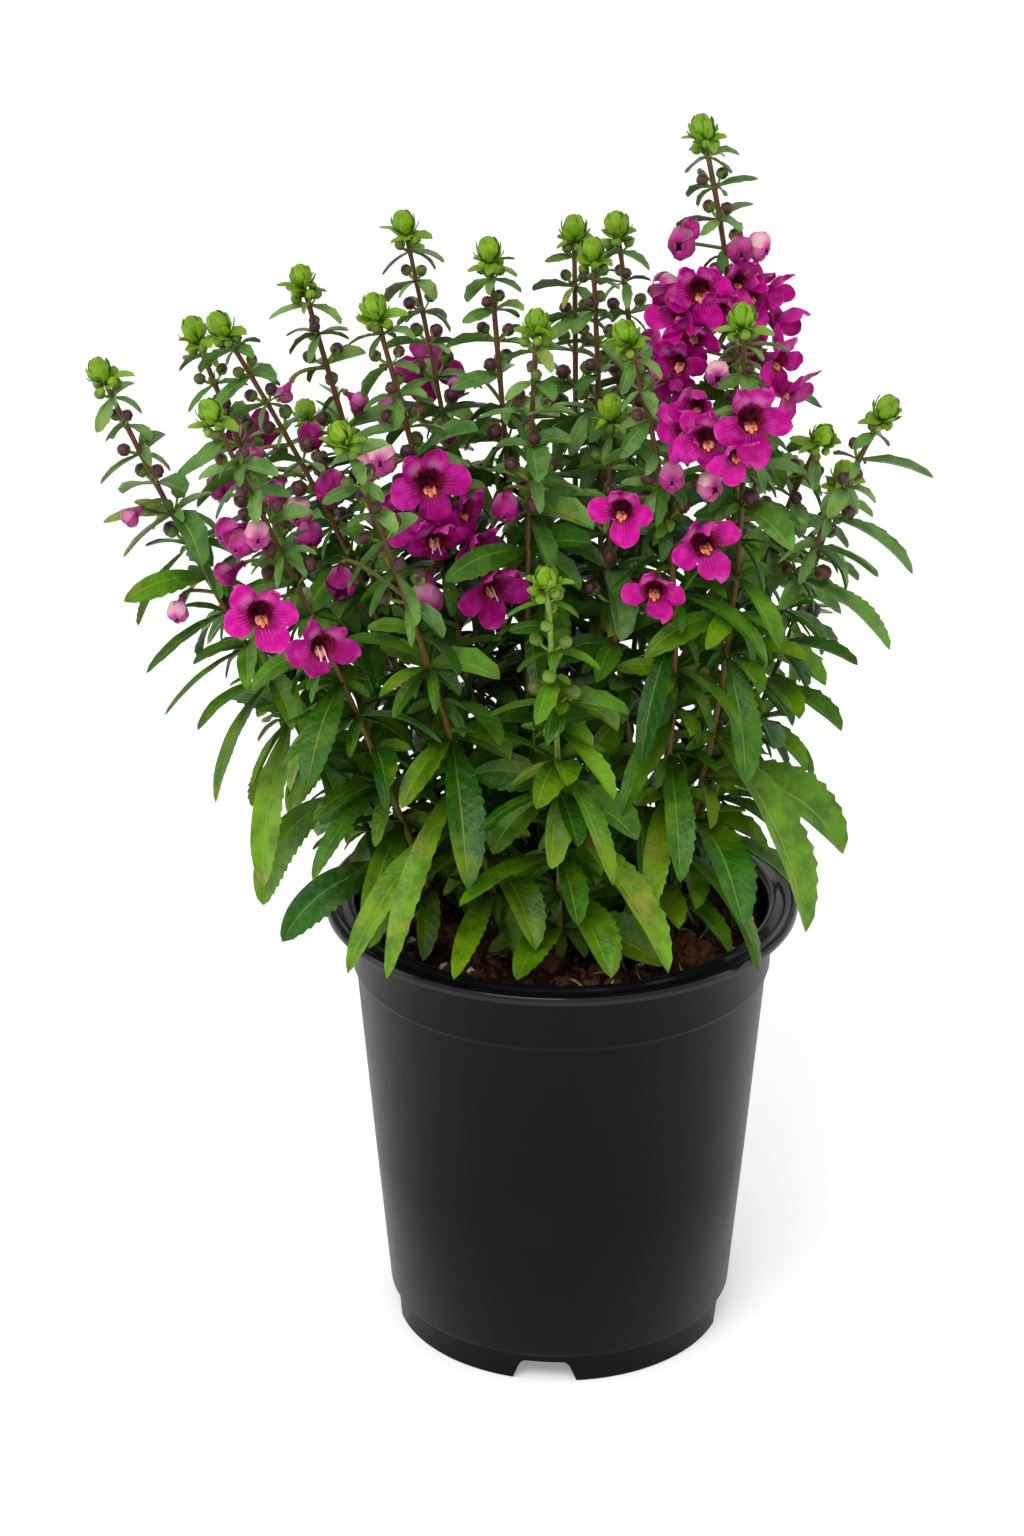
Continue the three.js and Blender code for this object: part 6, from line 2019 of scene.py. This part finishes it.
def scatter(bunch, lumps, count, area, sizes, few_large, lift, tones, seeds):
    """Strews lumps over a part of the soil. seeds: those of the places, turns, sizes and tones."""
    spot_seed, turn_seed, size_seed, tone_seed = seeds
    for i in range(count):
        x, y = spot(i + spot_seed, area)
        size = mix(*sizes, chance(i, *size_seed) ** few_large)
        at = (x, y, soil_height(x, y) + size * lift)
        lump = lumps[i % len(lumps)]
        bunch.add(lump, thrown(lump, at, size, i + turn_seed), (mix(*tones, chance(i, *tone_seed)), 0, 0))


def fibre(i):
    x, y = spot(i + 12001, FIBRE_AREA)
    turn = math.tau * chance(i, 43, 47)
    reach = mix(*FIBRE_LENGTH, chance(i, 53, 59))
    ends = [(x + k * reach / 2 * math.cos(turn), y + k * reach / 2 * math.sin(turn)) for k in (-1, 1)]
    foot, tip = ((px, py, soil_height(px, py) + 1.4) for px, py in ends)
    pull = (x + reach * 0.25 * math.sin(turn), y - reach * 0.25 * math.cos(turn), soil_height(x, y) + 3.4)
    return thin_rod(foot, pull, tip, mix(*FIBRE_RADIUS, chance(i, 61, 67)) * FIBRE_TAPER)


earth, bits = Bunch(), Bunch()
scatter(earth, CRUMBS, 1500, 69.5, (0.6, 2.3), 2, 0.4, (0, 1), (1, 31, (19, 23), (3, 4)))
scatter(earth, CLODS, 46, 62, (2.6, 7.0), 1.6, 0.35, (0.3, 1), (5001, 77, (29, 31), (5, 6)))
scatter(bits, CRUMBS, 60, 68, (0.6, 1.7), 1, 0.7, (0, 0), (9001, 99, (37, 41), (0, 0)))
for i in range(FIBRE_COUNT):
    bits.add(THIN_ROD, fibre(i), finish=1)
crumbs = earth.build("soil_crumbs", [CLOD], smooth=50)
bits = bits.build("perlite_and_fibres", [PERLITE, FIBRE], smooth=50)
for piece in (crumbs, bits):
    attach(piece, "root")
    print(piece.name, "faces", face_count(piece))

# %% [markdown]
# ## Size
# The CAD model's box is printed.

# %% Print the CAD model's size
print("cad   ", [round(b - a, 4) for a, b in zip(cad_low, cad_high)])
